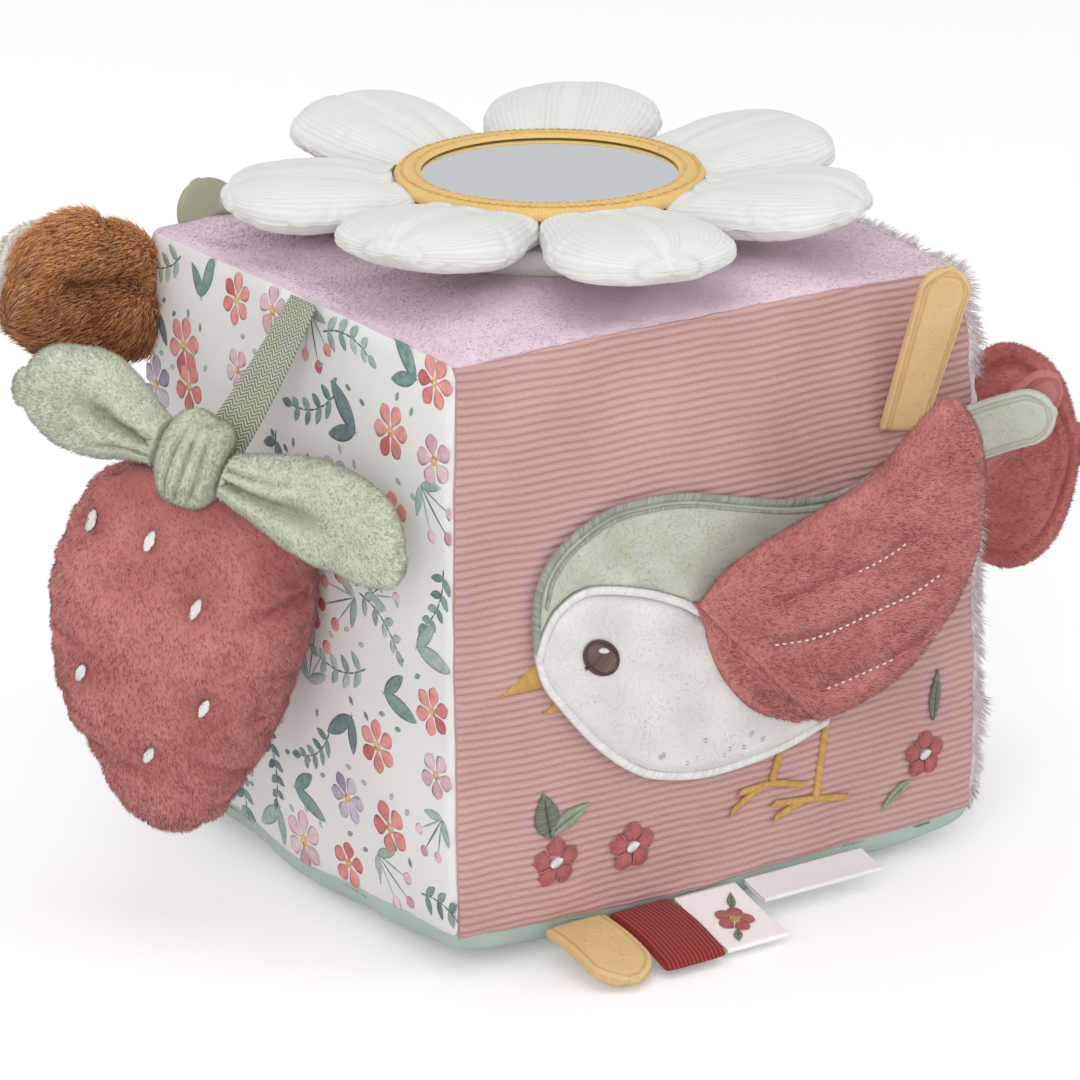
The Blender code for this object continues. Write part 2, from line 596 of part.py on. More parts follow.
def make_petals():
    """Seven stuffed petals, each with a rounded root on its fold line at the ring's edge."""
    velour = cloth("petal", (0.88, 0.85, 0.80))
    places = np.r_[0, 0.04, np.linspace(0.13, 0.94, BLADE_RINGS - 3), 1]
    spacing = math.radians(360 / PETAL_COUNT - max(PETAL_TURNS))
    room_radius = PETAL_AXIS_RADIUS + PETAL_LENGTH * places * math.cos(PETAL_RAISED)
    room = 2 * room_radius * math.tan(spacing / 2) - PETAL_GAP
    for number, tilt in enumerate(PETAL_TILTS):
        outward, pivot = petal_pivot(number)
        lean = math.radians(tilt)
        ahead = outward * math.cos(lean) + UP * math.sin(lean)
        normal = UP * math.cos(lean) - outward * math.sin(lean)
        droop = PETAL_DROOP_SHARE * PETAL_LENGTH * places**2
        spine = pivot + PETAL_LENGTH * places[:, None] * ahead - droop[:, None] * normal
        rings = blade_rings(
            spine, np.cross(UP, outward), 1, PETAL_DEPTH,
            np.minimum(PETAL_WIDTH * share_at(PETAL_WIDTH_SHARES, places), room),
            share_at(PETAL_DEPTH_SHARES, places), BLADE_SIDES,
        )
        put(f"petal_{number + 1}", loft(rings), velour, pivot=pivot)


def make_strawberry():
    """The twill tape in the top seam, with the stuffed strawberry and its tied bow."""
    facing = np.array((-math.sin(BERRY_TURN), -math.cos(BERRY_TURN), 0))
    side = np.array((math.cos(BERRY_TURN), -math.sin(BERRY_TURN), 0))
    stand_off = BERRY_WIDTH / 2 * math.cos(BERRY_TURN) + BERRY_EDGE_CLEARANCE
    stand_off += BERRY_DEPTH * min(depth for _, depth in BERRY_DEPTH_SHARES) / 2
    middle_x = -(CROWNS[0] + stand_off)
    top_height = BERRY_TOP_SHARE * BLOCK_HEIGHT
    places = np.linspace(0, 1, BERRY_RINGS)
    sway = share_at(BERRY_SWAY_SHARES, places) * BERRY_HEIGHT
    start = np.array((middle_x, BERRY_PLACE_SHARE * BLOCK_DEPTH, top_height))
    spine = start - BERRY_HEIGHT * places[:, None] * UP + sway[:, None] * side
    rings = blade_rings(
        spine, side, BERRY_WIDTH, BERRY_DEPTH,
        share_at(BERRY_WIDTH_SHARES, places), share_at(BERRY_DEPTH_SHARES, places), BERRY_SIDES, 0.9,
    )
    seam = on_face("left", -TAPE_PLACE_SHARE * BLOCK_DEPTH, SEAMS[2], 0)
    root = np.array((seam[0] - 2 * SEAM_GAP - TAPE_THICKNESS, seam[1], CENTRE[2] + SEAMS[2]))
    hang = hinge_empty("strawberry_hinge", root)
    plush = cloth("strawberry", (0.57, 0.14, 0.12))
    berry = put("strawberry_body", loft(rings), plush, parent=hang, pivot=tuple(spine[0]))
    end = spine[0] + (2 * SEAM_GAP + TAPE_THICKNESS / 2) * UP
    places = np.linspace(0, 1, TAB_RINGS)
    tape = root + (end - root) * places[:, None]
    twist = BEHIND * (1 - places[:, None]) - side * places[:, None]
    rings = blade_rings(
        tape, twist, TAPE_WIDTH, TAPE_THICKNESS,
        share_at(RIBBON_SQUARE_SHARES, places), np.ones(TAB_RINGS), TAB_SIDES, 0.35, tip_ahead=-UP,
    )
    twill = cloth("hanging_tape", (0.33, 0.40, 0.28))
    put("hanging_tape", loft(rings), twill, parent=hang, pivot=tuple(root))
    make_bow(spine[0], facing, side, hang, berry)


def make_bow(top, facing, side, hang, berry):
    """The knot and the two leaves of the bow, and their beds in the strawberry's top."""
    sage = cloth("bow", (0.42, 0.53, 0.38))
    knot = top + KNOT_FORWARD * facing + KNOT_RISE * UP + KNOT_SIDE * side
    reaches = {name: np.array(reach) for name, reach in BOW_LEAF_REACHES.items()}
    across_bow = unit(reaches["right"] - reaches["left"])
    forward = unit(np.cross(across_bow, UP))
    turns = np.linspace(0, 1, BLADE_RINGS) * math.pi
    cutters = []
    for grow, keep in ((0, True), (SEAM_GAP, False)):
        swell = np.sqrt(np.sin(np.clip(turns, 0.12, math.pi - 0.12)))
        spine = knot - np.cos(turns)[:, None] * (KNOT_HEIGHT / 2 + grow) * unit(np.cross(across_bow, forward))
        rings = blade_rings(
            spine, across_bow, KNOT_WIDTH + 2 * grow, KNOT_DEPTH + 2 * grow,
            swell, swell, BLADE_SIDES, 0.9,
        )
        pieces = [("bow_knot", loft(rings))]
        for name, reach in reaches.items():
            way = across_bow if name == "right" else -across_bow
            first = knot + way * (KNOT_WIDTH / 2 + SEAM_GAP)
            tip = knot + reach
            bend = first + way * np.linalg.norm(tip - first) / 3
            sag = BOW_SAG_SHARE * np.linalg.norm(reach) * UP
            places = np.linspace(0, 1, BLADE_RINGS)
            spine = curve_through((first, bend + sag / 2, (bend + tip) / 2 + sag, tip), BLADE_RINGS)
            rings = blade_rings(
                spine, np.cross(way, forward), BOW_LEAF_WIDTH + 2 * grow, BOW_LEAF_DEPTH + 2 * grow,
                share_at(BOW_LEAF_WIDTH_SHARES, places), share_at(BOW_LEAF_DEPTH_SHARES, places),
                BLADE_SIDES, 0.85, way,
            )
            pieces.append((f"bow_leaf_{name}", loft(rings)))
        for name, shape in pieces:
            if keep:
                put(name, shape, sage, parent=hang, pivot=tuple(knot))
            else:
                cutters.append(put(f"bed_of_{name}", shape, sage))
    cut_by(berry, cutters)


def strip_between(first, second, rows, columns):
    """A grid of face offsets between two outlines given as shares of the block's width."""
    first, second = (even_curve(line, columns) * BLOCK_WIDTH for line in (first, second))
    t = np.linspace(0, 1, rows)[:, None, None]
    return first * (1 - t) + second * t


def applique(name, first, second, colour):
    """A flat cloth shape between two outlines, laid on the ribbed face and rounded at its border."""
    flat = strip_between(first, second, APPLIQUE_ROWS + 1, APPLIQUE_CELLS + 1)
    t, s = np.linspace(-1, 1, APPLIQUE_ROWS + 1), np.linspace(-1, 1, APPLIQUE_CELLS + 1)
    crown = np.sqrt(np.sqrt(np.maximum((1 - t[:, None] ** 8) * (1 - s[None, :] ** 8), 0)))
    height = APPLIQUE_DEPTH * (1 + crown) / 2
    outer = on_face("front", flat[..., 0], flat[..., 1], SEAM_GAP + height)
    inner = on_face("front", flat[..., 0], flat[..., 1], SEAM_GAP)
    put(name, slab(outer, inner), cloth(name, colour))


def make_bird():
    """The bird's back and belly, with a seam's gap between them."""
    gap_share = SEAM_GAP / BLOCK_WIDTH
    split = np.array(BIRD_SPLIT_SHARES)
    applique("bird_back", BIRD_TOP_SHARES, split + (0, gap_share), (0.42, 0.47, 0.36))
    applique("bird_belly", split - (0, gap_share), BIRD_BELLY_SHARES, (0.78, 0.74, 0.69))


WING_LINE_ENDS = np.array(WING_FOLD_SHARES) * BLOCK_WIDTH
WING_LINE = unit(WING_LINE_ENDS[1] - WING_LINE_ENDS[0])
WING_AHEAD = np.array((-WING_LINE[1], WING_LINE[0]))
WING_MIDDLE = WING_LINE_ENDS.mean(axis=0)
WING_PLANE_OUT = CROWNS[1] + SEAM_GAP + APPLIQUE_DEPTH + WING_SEAT
WING_PIVOT = CENTRE + WING_MIDDLE[0] * RIGHT + WING_MIDDLE[1] * UP - WING_PLANE_OUT * BEHIND


def wing_grid():
    """Face offsets over the wing, from its fold line to its tip, with its across and along places."""
    lead = even_curve(WING_LEADING_SHARES, WING_ROWS + 1) * BLOCK_WIDTH
    trail = even_curve(WING_TRAILING_SHARES, WING_ROWS + 1) * BLOCK_WIDTH
    t = np.linspace(0, 1, WING_CELLS + 1)[None, :, None]
    flat = lead[:, None, :] * (1 - t) + trail[:, None, :] * t
    along, across = np.meshgrid(np.linspace(0, 1, WING_ROWS + 1), t[0, :, 0], indexing="ij")
    return flat, along, across


def wing_place(flat, lift):
    """Points of the lifted wing: its flat offsets turned about the fold line."""
    reach = (flat - WING_MIDDLE) @ WING_AHEAD
    slide = (flat - WING_MIDDLE) @ WING_LINE
    ahead = WING_AHEAD[0] * RIGHT + WING_AHEAD[1] * UP
    line = WING_LINE[0] * RIGHT + WING_LINE[1] * UP
    out = reach * math.sin(WING_LIFT) + lift * math.cos(WING_LIFT)
    near = reach * math.cos(WING_LIFT) - lift * math.sin(WING_LIFT)
    return WING_PIVOT + near[..., None] * ahead + slide[..., None] * line - out[..., None] * BEHIND


def make_wing():
    """The loose wing: two plush layers round crinkle film, with stitched channels, and its hem."""
    flat, along, across = wing_grid()
    edge = np.sqrt(np.maximum(1 - (2 * across - 1) ** 4, 0))
    root = np.sqrt(np.clip(along * WING_ROWS / 2, 0.06, 1))
    tip = np.sqrt(np.clip((1 - along) * WING_ROWS / 3, 0.02, 1))
    channel = np.cos(math.pi * (WING_CHANNELS + 1) * across) ** 8 * np.clip(np.sin(math.pi * along) * 2, 0, 1)
    swell = (0.12 + 0.88 * edge * tip * root) * (1 - WING_CHANNEL_SHARE * channel)
    film = WING_FILM / 2
    face = film + SEAM_GAP
    height = face + swell * (WING_DEPTH / 2 - face)
    plush = cloth("wing", (0.57, 0.14, 0.12))
    hinge = hinge_empty("wing_hinge", WING_PIVOT)
    pivot = tuple(WING_PIVOT)
    front = slab(wing_place(flat, height), wing_place(flat, np.full(height.shape, face)))
    put("wing_front", front, plush, pivot=pivot, parent=hinge)
    back = slab(wing_place(flat, -height), wing_place(flat, np.full(height.shape, -face)))
    put("wing_back", back, plush, pivot=pivot, parent=hinge)
    core = flat[1:-2, 1:-1]
    level = np.full(core.shape[:2], film)
    sheet = slab(wing_place(core, level), wing_place(core, -level))
    crinkly = cloth("crinkle_film", (0.8, 0.8, 0.82), roughness=0.3)
    put("crinkle_film", sheet, crinkly, pivot=pivot, parent=hinge)
    make_wing_hem(plush)


def make_wing_hem(plush):
    """The rounded hem beside the fold line, sewn down on the bird."""
    rim = even_curve(WING_RIM_SHARES, WING_CELLS + 1) * BLOCK_WIDTH
    t = np.linspace(*WING_HEM_END_SHARES, WING_CELLS + 1)[:, None]
    line = WING_LINE_ENDS[0] * (1 - t) + WING_LINE_ENDS[1] * t
    rows = np.linspace(0, 1, APPLIQUE_ROWS + 1)[:, None, None]
    flat = line * (1 - rows) + rim * rows - WING_AHEAD * WING_FOLD_ROOM
    bed = SEAM_GAP + APPLIQUE_DEPTH + SEAM_GAP
    beside, at_rim = WING_HEM_SHARES
    round_off = at_rim + (beside - at_rim) * np.sqrt(1 - rows[..., 0] ** 2) * np.ones(flat.shape[:2])
    outer = on_face("front", flat[..., 0], flat[..., 1], bed + WING_SEAT * round_off)
    inner = on_face("front", flat[..., 0], flat[..., 1], bed)
    put("wing_hem", slab(outer, inner), plush)


def padded_tab(
    name, root, root_ahead, reach, acrosses, width, depth, widths, depths, material, bend=0.0, square=0.45
):
    """A padded ribbon tab that bends a little out of its plane, and may twist from root to tip."""
    places = np.linspace(0, 1, TAB_RINGS)
    at_root, at_tip = (np.asarray(across, float) for across in acrosses)
    normal = unit(np.cross(reach, at_tip))
    bow = bend * np.linalg.norm(reach) * np.sin(places * math.pi)
    spine = root + places[:, None] * np.asarray(reach) + bow[:, None] * normal
    rings = blade_rings(
        spine, at_root * (1 - places[:, None]) + at_tip * places[:, None], width, depth,
        share_at(widths, places), share_at(depths, places), TAB_SIDES, square, root_ahead,
    )
    put(name, loft(rings), material, pivot=tuple(root))


def make_feathers():
    """The three tail feathers, sewn in at the end of the bird's back."""
    colours = {"mustard": (0.75, 0.48, 0.12), "sage": (0.42, 0.47, 0.32), "coral": (0.57, 0.14, 0.12)}
    for name, shares in FEATHER_ROOT_SHARES.items():
        p, q = (share * BLOCK_WIDTH for share in shares)
        lift = SEAM_GAP + FEATHER_DEPTH / 2 + FEATHER_LAYERS[name] * (FEATHER_DEPTH + SEAM_GAP)
        root = on_face("front", p, q, lift)
        across = np.array(FEATHER_ACROSS_SHARES[name])
        flat = across * (1, 0, 1)
        ahead = unit(np.array(FEATHER_REACHES[name]) * (1, 0, 1))
        padded_tab(
            f"tail_feather_{name}", root, ahead, FEATHER_REACHES[name], (flat, across), FEATHER_WIDTH,
            FEATHER_DEPTH, TAB_WIDTH_SHARES, TAB_DEPTH_SHARES, cloth(f"feather_{name}", colours[name]),
            FEATHER_BEND_SHARES[name],
        )


def make_ribbon_tabs():
    """Four folded ribbons sewn in the seam under the bird."""
    colours = {
        "tab_mustard": (0.75, 0.48, 0.12), "tab_burgundy": (0.33, 0.06, 0.07),
        "tab_satin": (0.85, 0.70, 0.70), "tab_label": (0.88, 0.88, 0.88),
    }
    seam_height = CENTRE[2] - SEAMS[2]
    edge = RIBBON_FIRST_SHARE * BLOCK_WIDTH
    for name, width in RIBBON_WIDTHS.items():
        x = edge + RIBBON_GAPS[name] + width / 2
        edge = x + width / 2
        depth = RIBBON_DEPTHS[name]
        skin = on_face("front", x, -SEAMS[2], 0)
        root = np.array((x, skin[1] - 2 * SEAM_GAP, seam_height))
        tip_height = max(RIBBON_TIP_HEIGHT + depth / 2, 0)
        length = RIBBON_LENGTHS[name]
        drop = (root[2] - tip_height) * length / max(RIBBON_LENGTHS.values())
        reach = np.array((0, -math.sqrt(length**2 - drop**2), -drop))
        widths = TAB_WIDTH_SHARES if name == "tab_mustard" else RIBBON_SQUARE_SHARES
        padded_tab(
            name, root, -BEHIND, reach, (RIGHT, RIGHT), width, depth, widths, TAB_DEPTH_SHARES,
            cloth(name, colours[name]), 0.05, 0.35,
        )


def make_brush():
    """The long-pile brush at the back of the printed face: a plump front and a pale lining."""
    root = puffed(-RIGHT + BEHIND + 2 * BRUSH_PLACE_SHARE * UP) + CENTRE - 2 * SEAM_GAP * RIGHT
    reach = BRUSH_LENGTH * unit(-RIGHT + BRUSH_RISE_SHARE * UP)
    places = np.linspace(0, 1, BLADE_RINGS)
    hinge = hinge_empty("brush_hinge", root)
    for name, colour, shift, depth in (
        ("brush_front", (0.42, 0.17, 0.05), 0, BRUSH_DEPTH),
        ("brush_lining", (0.80, 0.74, 0.66), BRUSH_DEPTH / 2 + BRUSH_LINING / 2 + SEAM_GAP, BRUSH_LINING),
    ):
        spine = root + places[:, None] * reach + shift * BEHIND
        depths = share_at(BRUSH_DEPTH_SHARES, places) if shift == 0 else np.ones(BLADE_RINGS)
        rings = blade_rings(
            spine, UP, BRUSH_HEIGHT, depth,
            share_at(BRUSH_WIDTH_SHARES, places), depths, BLADE_SIDES, 0.85, -RIGHT,
        )
        put(name, loft(rings), cloth(name, colour), pivot=tuple(root), parent=hinge)


def make_leaf_tab():
    """The small leaf that stands up from the back seam of the top."""
    root = puffed(BEHIND + UP - 2 * LEAF_TAB_PLACE_SHARE * RIGHT) + CENTRE + 2 * SEAM_GAP * UP
    reach = LEAF_TAB_LENGTH * unit(UP + BEHIND / 3)
    padded_tab(
        "leaf_tab", root, UP, reach, (RIGHT, RIGHT), LEAF_TAB_WIDTH, LEAF_TAB_DEPTH,
        TAB_WIDTH_SHARES, TAB_DEPTH_SHARES, cloth("leaf_tab", (0.36, 0.42, 0.28)),
    )


def make_side_flap():
    """The stuffed flap that stands off the fleece face, with its rounded outer edge."""
    p, q = FLAP_PLACE_SHARE * BLOCK_DEPTH, FLAP_HEIGHT_SHARE * BLOCK_HEIGHT
    lift = FLEECE_PILE + 2 * SEAM_GAP
    root = on_face("right", p, q, lift)
    high, low = (on_face("right", p, q + side * FLAP_WIDTH / 2, lift) for side in (1, -1))
    along = unit(high - low)
    reach = FLAP_LENGTH * unit(RIGHT - FLAP_FORWARD_SHARE * BEHIND + FLAP_RISE_SHARE * UP)
    places = np.linspace(0, 1, BLADE_RINGS)
    rings = blade_rings(
        root + places[:, None] * reach, along, FLAP_WIDTH, FLAP_DEPTH, share_at(FLAP_WIDTH_SHARES, places),
        share_at(FLAP_DEPTH_SHARES, places), BLADE_SIDES, 0.8, np.cross(BEHIND, along),
    )
    put("side_flap", loft(rings), cloth("side_flap", (0.57, 0.14, 0.12)), pivot=tuple(root))


def main():
    """Clears the scene and builds the block."""
    for old in list(bpy.data.objects):
        bpy.data.objects.remove(old, do_unlink=True)
    make_panels()
    make_filling()
    make_flower_base()
    make_mirror()
    make_petals()
    make_strawberry()
    make_bird()
    make_wing()
    make_feathers()
    make_ribbon_tabs()
    make_brush()
    make_leaf_tab()
    make_side_flap()


if __name__ == "__main__":
    main()
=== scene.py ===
"""The looks of a soft fabric activity block, sewn round its packed pattern.

Every piece is a surface worked out with numpy on a grid of two parameters, or a profile carried
along a path. Lengths are in metres; +Z is up, the ribbed face with the bird looks along -Y, the
printed face along -X and the fleece face along +X.
"""

import logging
import math
from dataclasses import dataclass
from enum import Enum
from typing import Callable, Sequence

import bpy
import numpy as np
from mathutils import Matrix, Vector


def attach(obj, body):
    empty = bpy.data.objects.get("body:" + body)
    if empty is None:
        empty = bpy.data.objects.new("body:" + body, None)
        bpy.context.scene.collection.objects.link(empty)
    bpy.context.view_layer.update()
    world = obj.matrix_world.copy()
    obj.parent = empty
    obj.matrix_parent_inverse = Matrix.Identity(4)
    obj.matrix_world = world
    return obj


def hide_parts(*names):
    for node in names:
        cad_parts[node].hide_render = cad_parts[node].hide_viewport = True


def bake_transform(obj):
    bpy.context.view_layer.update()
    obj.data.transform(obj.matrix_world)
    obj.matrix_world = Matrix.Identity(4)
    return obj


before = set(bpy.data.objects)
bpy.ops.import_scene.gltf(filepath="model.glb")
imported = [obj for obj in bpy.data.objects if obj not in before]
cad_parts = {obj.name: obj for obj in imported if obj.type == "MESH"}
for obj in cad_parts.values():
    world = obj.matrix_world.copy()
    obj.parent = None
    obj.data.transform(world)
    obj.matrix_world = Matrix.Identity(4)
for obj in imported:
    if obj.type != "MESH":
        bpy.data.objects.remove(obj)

Array = np.ndarray
Place = Callable[[Array, Array], Array]
log = logging.getLogger("activity_block")
RIGHT, BEHIND, UP = np.eye(3)
MM = 0.001


# ------- small sums on whole arrays


def unit(vectors: Array) -> Array:
    """The vectors, each divided by its own length."""
    vectors = np.asarray(vectors, float)
    return vectors / np.maximum(np.linalg.norm(vectors, axis=-1, keepdims=True), 1e-12)


def curve_through(points: Sequence, count: int) -> Array:
    """A Catmull-Rom curve through the points.

    Args:
        points: Places that the curve passes, in order.
        count: How many points the result has.

    Returns:
        An array of count points.
    """
    points = np.asarray(points, float)
    run = np.vstack([2 * points[0] - points[1], points, 2 * points[-1] - points[-2]])
    place = np.linspace(0, len(points) - 1, count)
    start = np.minimum(place.astype(int), len(points) - 2)
    t = (place - start)[:, None]
    a, b, c, d = (run[start + step] for step in range(4))
    square, cube = 2 * a - 5 * b + 4 * c - d, 3 * b - a - 3 * c + d
    return (2 * b + (c - a) * t + square * t**2 + cube * t**3) / 2


def walked(line: Array) -> Array:
    """How far along the line each of its points lies."""
    return np.r_[0, np.cumsum(np.linalg.norm(np.diff(line, axis=0), axis=1))]


def read_off(values: Array, places: Array, wanted: Array) -> Array:
    """The rows of values, which lie at places, read off at the wanted places."""
    return np.stack([np.interp(wanted, places, column) for column in values.T], axis=1)


def even_curve(points: Sequence, count: int) -> Array:
    """The smooth curve through the points, evenly spaced along its length.

    Args:
        points: Places that the curve passes, in order.
        count: How many points the result has.

    Returns:
        An array of count points.
    """
    curve = curve_through(points, 240)
    travelled = walked(curve)
    return read_off(curve, travelled, np.linspace(0, travelled[-1], count))


def share_at(table: Sequence, places: Array) -> Array:
    """The smooth share at each place between 0 and 1, from a table of (place, share)."""
    curve = curve_through(table, 120)
    return np.interp(places, curve[:, 0], curve[:, 1])


def bell(distance: Array, width: float) -> Array:
    """A bump of height one: e to the power of minus (distance / width) squared."""
    return np.exp(-((distance / width) ** 2))


def ramp(values: Array, low: float, high: float) -> Array:
    """A smooth step from 0 at low to 1 at high."""
    t = np.clip((values - low) / (high - low), 0, 1)
    return t * t * (3 - 2 * t)


def normals_of(points: Array, wrap: bool) -> Array:
    """Unit normals of a grid: the cross product of its row step and its column step.

    Args:
        points: The grid (rows, columns, 3).
        wrap: Whether its last column joins the first.

    Returns:
        A grid of normals.
    """
    along = np.gradient(points, axis=0)
    around = np.roll(points, -1, 1) - np.roll(points, 1, 1) if wrap else np.gradient(points, axis=1)
    return unit(np.cross(along, around))


def rim_of(grid: Array) -> Array:
    """The places on a grid's rim, once round."""
    return np.concatenate([grid[:, 0], grid[-1, 1:], grid[-2::-1, -1], grid[0, -2:0:-1]])


def distance_to(points: Array, line: Array) -> Array:
    """The distance from each point to the nearest point of a line.

    Args:
        points: Places; the last axis is the place.
        line: The line's points.

    Returns:
        An array of distances.
    """
    flat = points.reshape(-1, points.shape[-1])
    gap = np.full(len(flat), 1e9)
    for spot in line:
        gap = np.minimum(gap, np.linalg.norm(flat - spot, axis=1))
    return gap.reshape(points.shape[:-1])


def nearest(spots: Array, flat: Array) -> Array:
    """The number of the spot (n, 2) that lies nearest to each flat place."""
    near = [np.argmin(((spots - place) ** 2).sum(axis=1)) for place in flat.reshape(-1, 2)]
    return np.reshape(near, flat.shape[:-1])


def towards(turn: float | Array) -> Array:
    """Flat unit vectors at the angles."""
    return np.stack([np.cos(turn), np.sin(turn)], axis=-1)


def left_of(way: Array) -> Array:
    """Flat vectors turned a quarter to the left."""
    return np.stack([-way[..., 1], way[..., 0]], axis=-1)


def ripple(points: Array, size: float, seed: int) -> Array:
    """A soft uneven field between about -1 and 1: the mean of six plane waves of random heading.

    Args:
        points: Places; the last axis is the place.
        size: The middle wavelength.
        seed: The number that the random draws start from.

    Returns:
        One value for each place.
    """
    draw = np.random.default_rng(seed)
    heading = unit(draw.normal(size=(6, points.shape[-1])))
    pitch = size * draw.uniform(0.7, 1.6, 6)
    phase = draw.uniform(0, 2 * math.pi, 6)
    return np.sin(points @ (heading / pitch[:, None]).T * 2 * math.pi + phase).sum(axis=-1) / 3.2


# ------- finishes


class Weave(Enum):
    """The kinds of cloth on the block."""

    PILE = "pile"
    PLAIN = "plain"
    TWILL = "twill"
    SATIN = "satin"
    THREAD = "thread"
    FELT = "felt"
    SMOOTH = "smooth"


def linear(colour: Sequence[float]) -> tuple[float, float, float, float]:
    """A screen colour as the linear colour that a shader takes.

    Args:
        colour: Red, green and blue from 0 to 255.

    Returns:
        Red, green, blue and a full alpha.
    """
    share = np.asarray(colour, float) / 255
    low, high = share / 12.92, ((share + 0.055) / 1.055) ** 2.4
    return (*np.where(share <= 0.04045, low, high).tolist(), 1.0)


class Recipe:
    """A material's node tree, filled in one node at a time."""

    def __init__(self, name: str) -> None:
        """Starts an empty tree.

        Args:
            name: The material's name.
        """
        self.material = bpy.data.materials.new(name)
        self.material.use_nodes = True
        self.nodes = self.material.node_tree.nodes
        self.nodes.clear()

    def node(self, kind: str, inputs: dict | None = None, **settings: object) -> bpy.types.Node:
        """Adds a node.

        Args:
            kind: The node's type, without its ShaderNode prefix.
            inputs: Values or sockets by input name or number.
            settings: Properties of the node.

        Returns:
            The node.
        """
        made = self.nodes.new("ShaderNode" + kind)
        for name, value in settings.items():
            setattr(made, name, value)
        for key, value in (inputs or {}).items():
            if isinstance(value, bpy.types.NodeSocket):
                self.material.node_tree.links.new(value, made.inputs[key])
            else:
                made.inputs[key].default_value = value
        return made

    def sum(self, operation: str, *values: object) -> bpy.types.NodeSocket:
        """The result of a Math node on up to three values."""
        return self.node("Math", dict(enumerate(values)), operation=operation).outputs[0]


@dataclass(frozen=True)
class Finish:
    """One cloth or thread: its two tones, its weave and how far its detail stands up."""

    name: str
    dark: tuple[int, int, int]
    light: tuple[int, int, int]
    weave: Weave = Weave.PILE
    grain: float = 0.5 * MM
    patch: float = 9 * MM
    mottle: float = 0.35
    contrast: float = 0.5
    relief: float = 0.25 * MM
    rough: float = 0.9
    sheen: float = 0.12
    metal: float = 0.0

    def grain_of(self, make: Recipe, spot: bpy.types.NodeSocket) -> bpy.types.NodeSocket:
        """The weave's own pattern: products of sines along the cloth, or noise.

        Args:
            make: The material's tree.
            spot: The place on the object.

        Returns:
            The pattern's height, from 0 to 1.
        """
        turn = 2 * math.pi / self.grain
        if self.weave in (Weave.PLAIN, Weave.TWILL, Weave.SATIN):
            lay = make.node("Attribute", attribute_name="lay").outputs["Vector"]
            split = make.node("SeparateXYZ", {0: lay}).outputs
            if self.weave is Weave.TWILL:
                fold = make.sum("PINGPONG", split[0], 1.3 * self.grain)
                wave = make.sum("SINE", make.sum("MULTIPLY", make.sum("ADD", fold, split[1]), turn))
            elif self.weave is Weave.SATIN:
                wave = make.sum("SINE", make.sum("MULTIPLY", split[0], turn))
            else:
                first = make.sum("SINE", make.sum("MULTIPLY", split[0], turn))
                second = make.sum("SINE", make.sum("MULTIPLY", split[1], turn))
                wave = make.sum("MULTIPLY", first, second)
            return make.sum("MULTIPLY_ADD", wave, 0.5, 0.5)
        inputs = {"Vector": spot, "Scale": 1 / self.grain, "Detail": 3.0, "Roughness": 0.65}
        return make.node("TexNoise", inputs).outputs[0]

    def material(self) -> bpy.types.Material:
        """Makes the material, once for each name.

        Returns:
            A mix of the two tones by the piece's tone, the grain and wide patches.
        """
        found = bpy.data.materials.get(self.name + "_finish")
        if found is not None:
            return found
        make = Recipe(self.name + "_finish")
        spot = make.node("TexCoord").outputs["Object"]
        grain = self.grain_of(make, spot)
        patch = make.node("TexNoise", {"Vector": spot, "Scale": 1 / self.patch, "Detail": 2.0}).outputs[0]
        tone = make.node("Attribute", attribute_name="tone").outputs["Fac"]
        share = make.sum("MULTIPLY_ADD", make.sum("SUBTRACT", grain, 0.5), self.contrast, tone)
        share = make.sum("MULTIPLY_ADD", make.sum("SUBTRACT", patch, 0.5), 2 * self.mottle, share)
        ends = {0: share, 6: linear(self.dark), 7: linear(self.light)}
        mix = make.node("Mix", ends, data_type="RGBA", clamp_factor=True)
        bump = make.node("Bump", {"Strength": 0.8, "Distance": self.relief, "Height": grain})
        shader = make.node("BsdfPrincipled", {
            "Base Color": mix.outputs[2], "Roughness": self.rough, "Metallic": self.metal,
            "Sheen Weight": self.sheen, "Sheen Roughness": 0.5, "Specular IOR Level": 0.25,
            "Normal": bump.outputs[0],
        })
        make.node("OutputMaterial", {0: shader.outputs[0]})
        return make.material


def plush(name: str, dark: tuple, light: tuple, **more: float) -> Finish:
    """A short plush of the two tones, whose grain is softer than its light and dark patches."""
    return Finish(name, dark, light, **{"contrast": 0.24, **more})


def velour(name: str, dark: tuple, light: tuple, mottle: float, relief: float = 0.05 * MM) -> Finish:
    """A flat, finely napped cloth of the two tones."""
    return plush(name, dark, light, grain=0.25 * MM, mottle=mottle, relief=relief)


def thread(name: str, dark: tuple, light: tuple, rough: float = 0.5) -> Finish:
    """A shiny sewing thread of the two tones."""
    return Finish(name, dark, light, Weave.THREAD, 0.2 * MM, rough=rough)


def ribbon(name: str, dark: tuple, light: tuple) -> Finish:
    """A smooth satin ribbon of the two tones."""
    return Finish(name, dark, light, Weave.SATIN, 0.3 * MM, 8 * MM, 0.1, 0.2, 0.03 * MM, 0.4)


def hard(name: str, dark: tuple, light: tuple, grain: float, relief: float, rough: float) -> Finish:
    """A smooth plastic or foil of the two tones."""
    return Finish(name, dark, light, Weave.SMOOTH, grain, relief=relief, rough=rough, sheen=0)


def ink(name: str, dark: tuple, light: tuple) -> Finish:
    """A printed colour on the cotton, darker and lighter in small pools."""
    return Finish("ink_" + name, dark, light, Weave.PLAIN, 0.5 * MM, 1.6 * MM, 0.6, 0.2, 0.02 * MM)


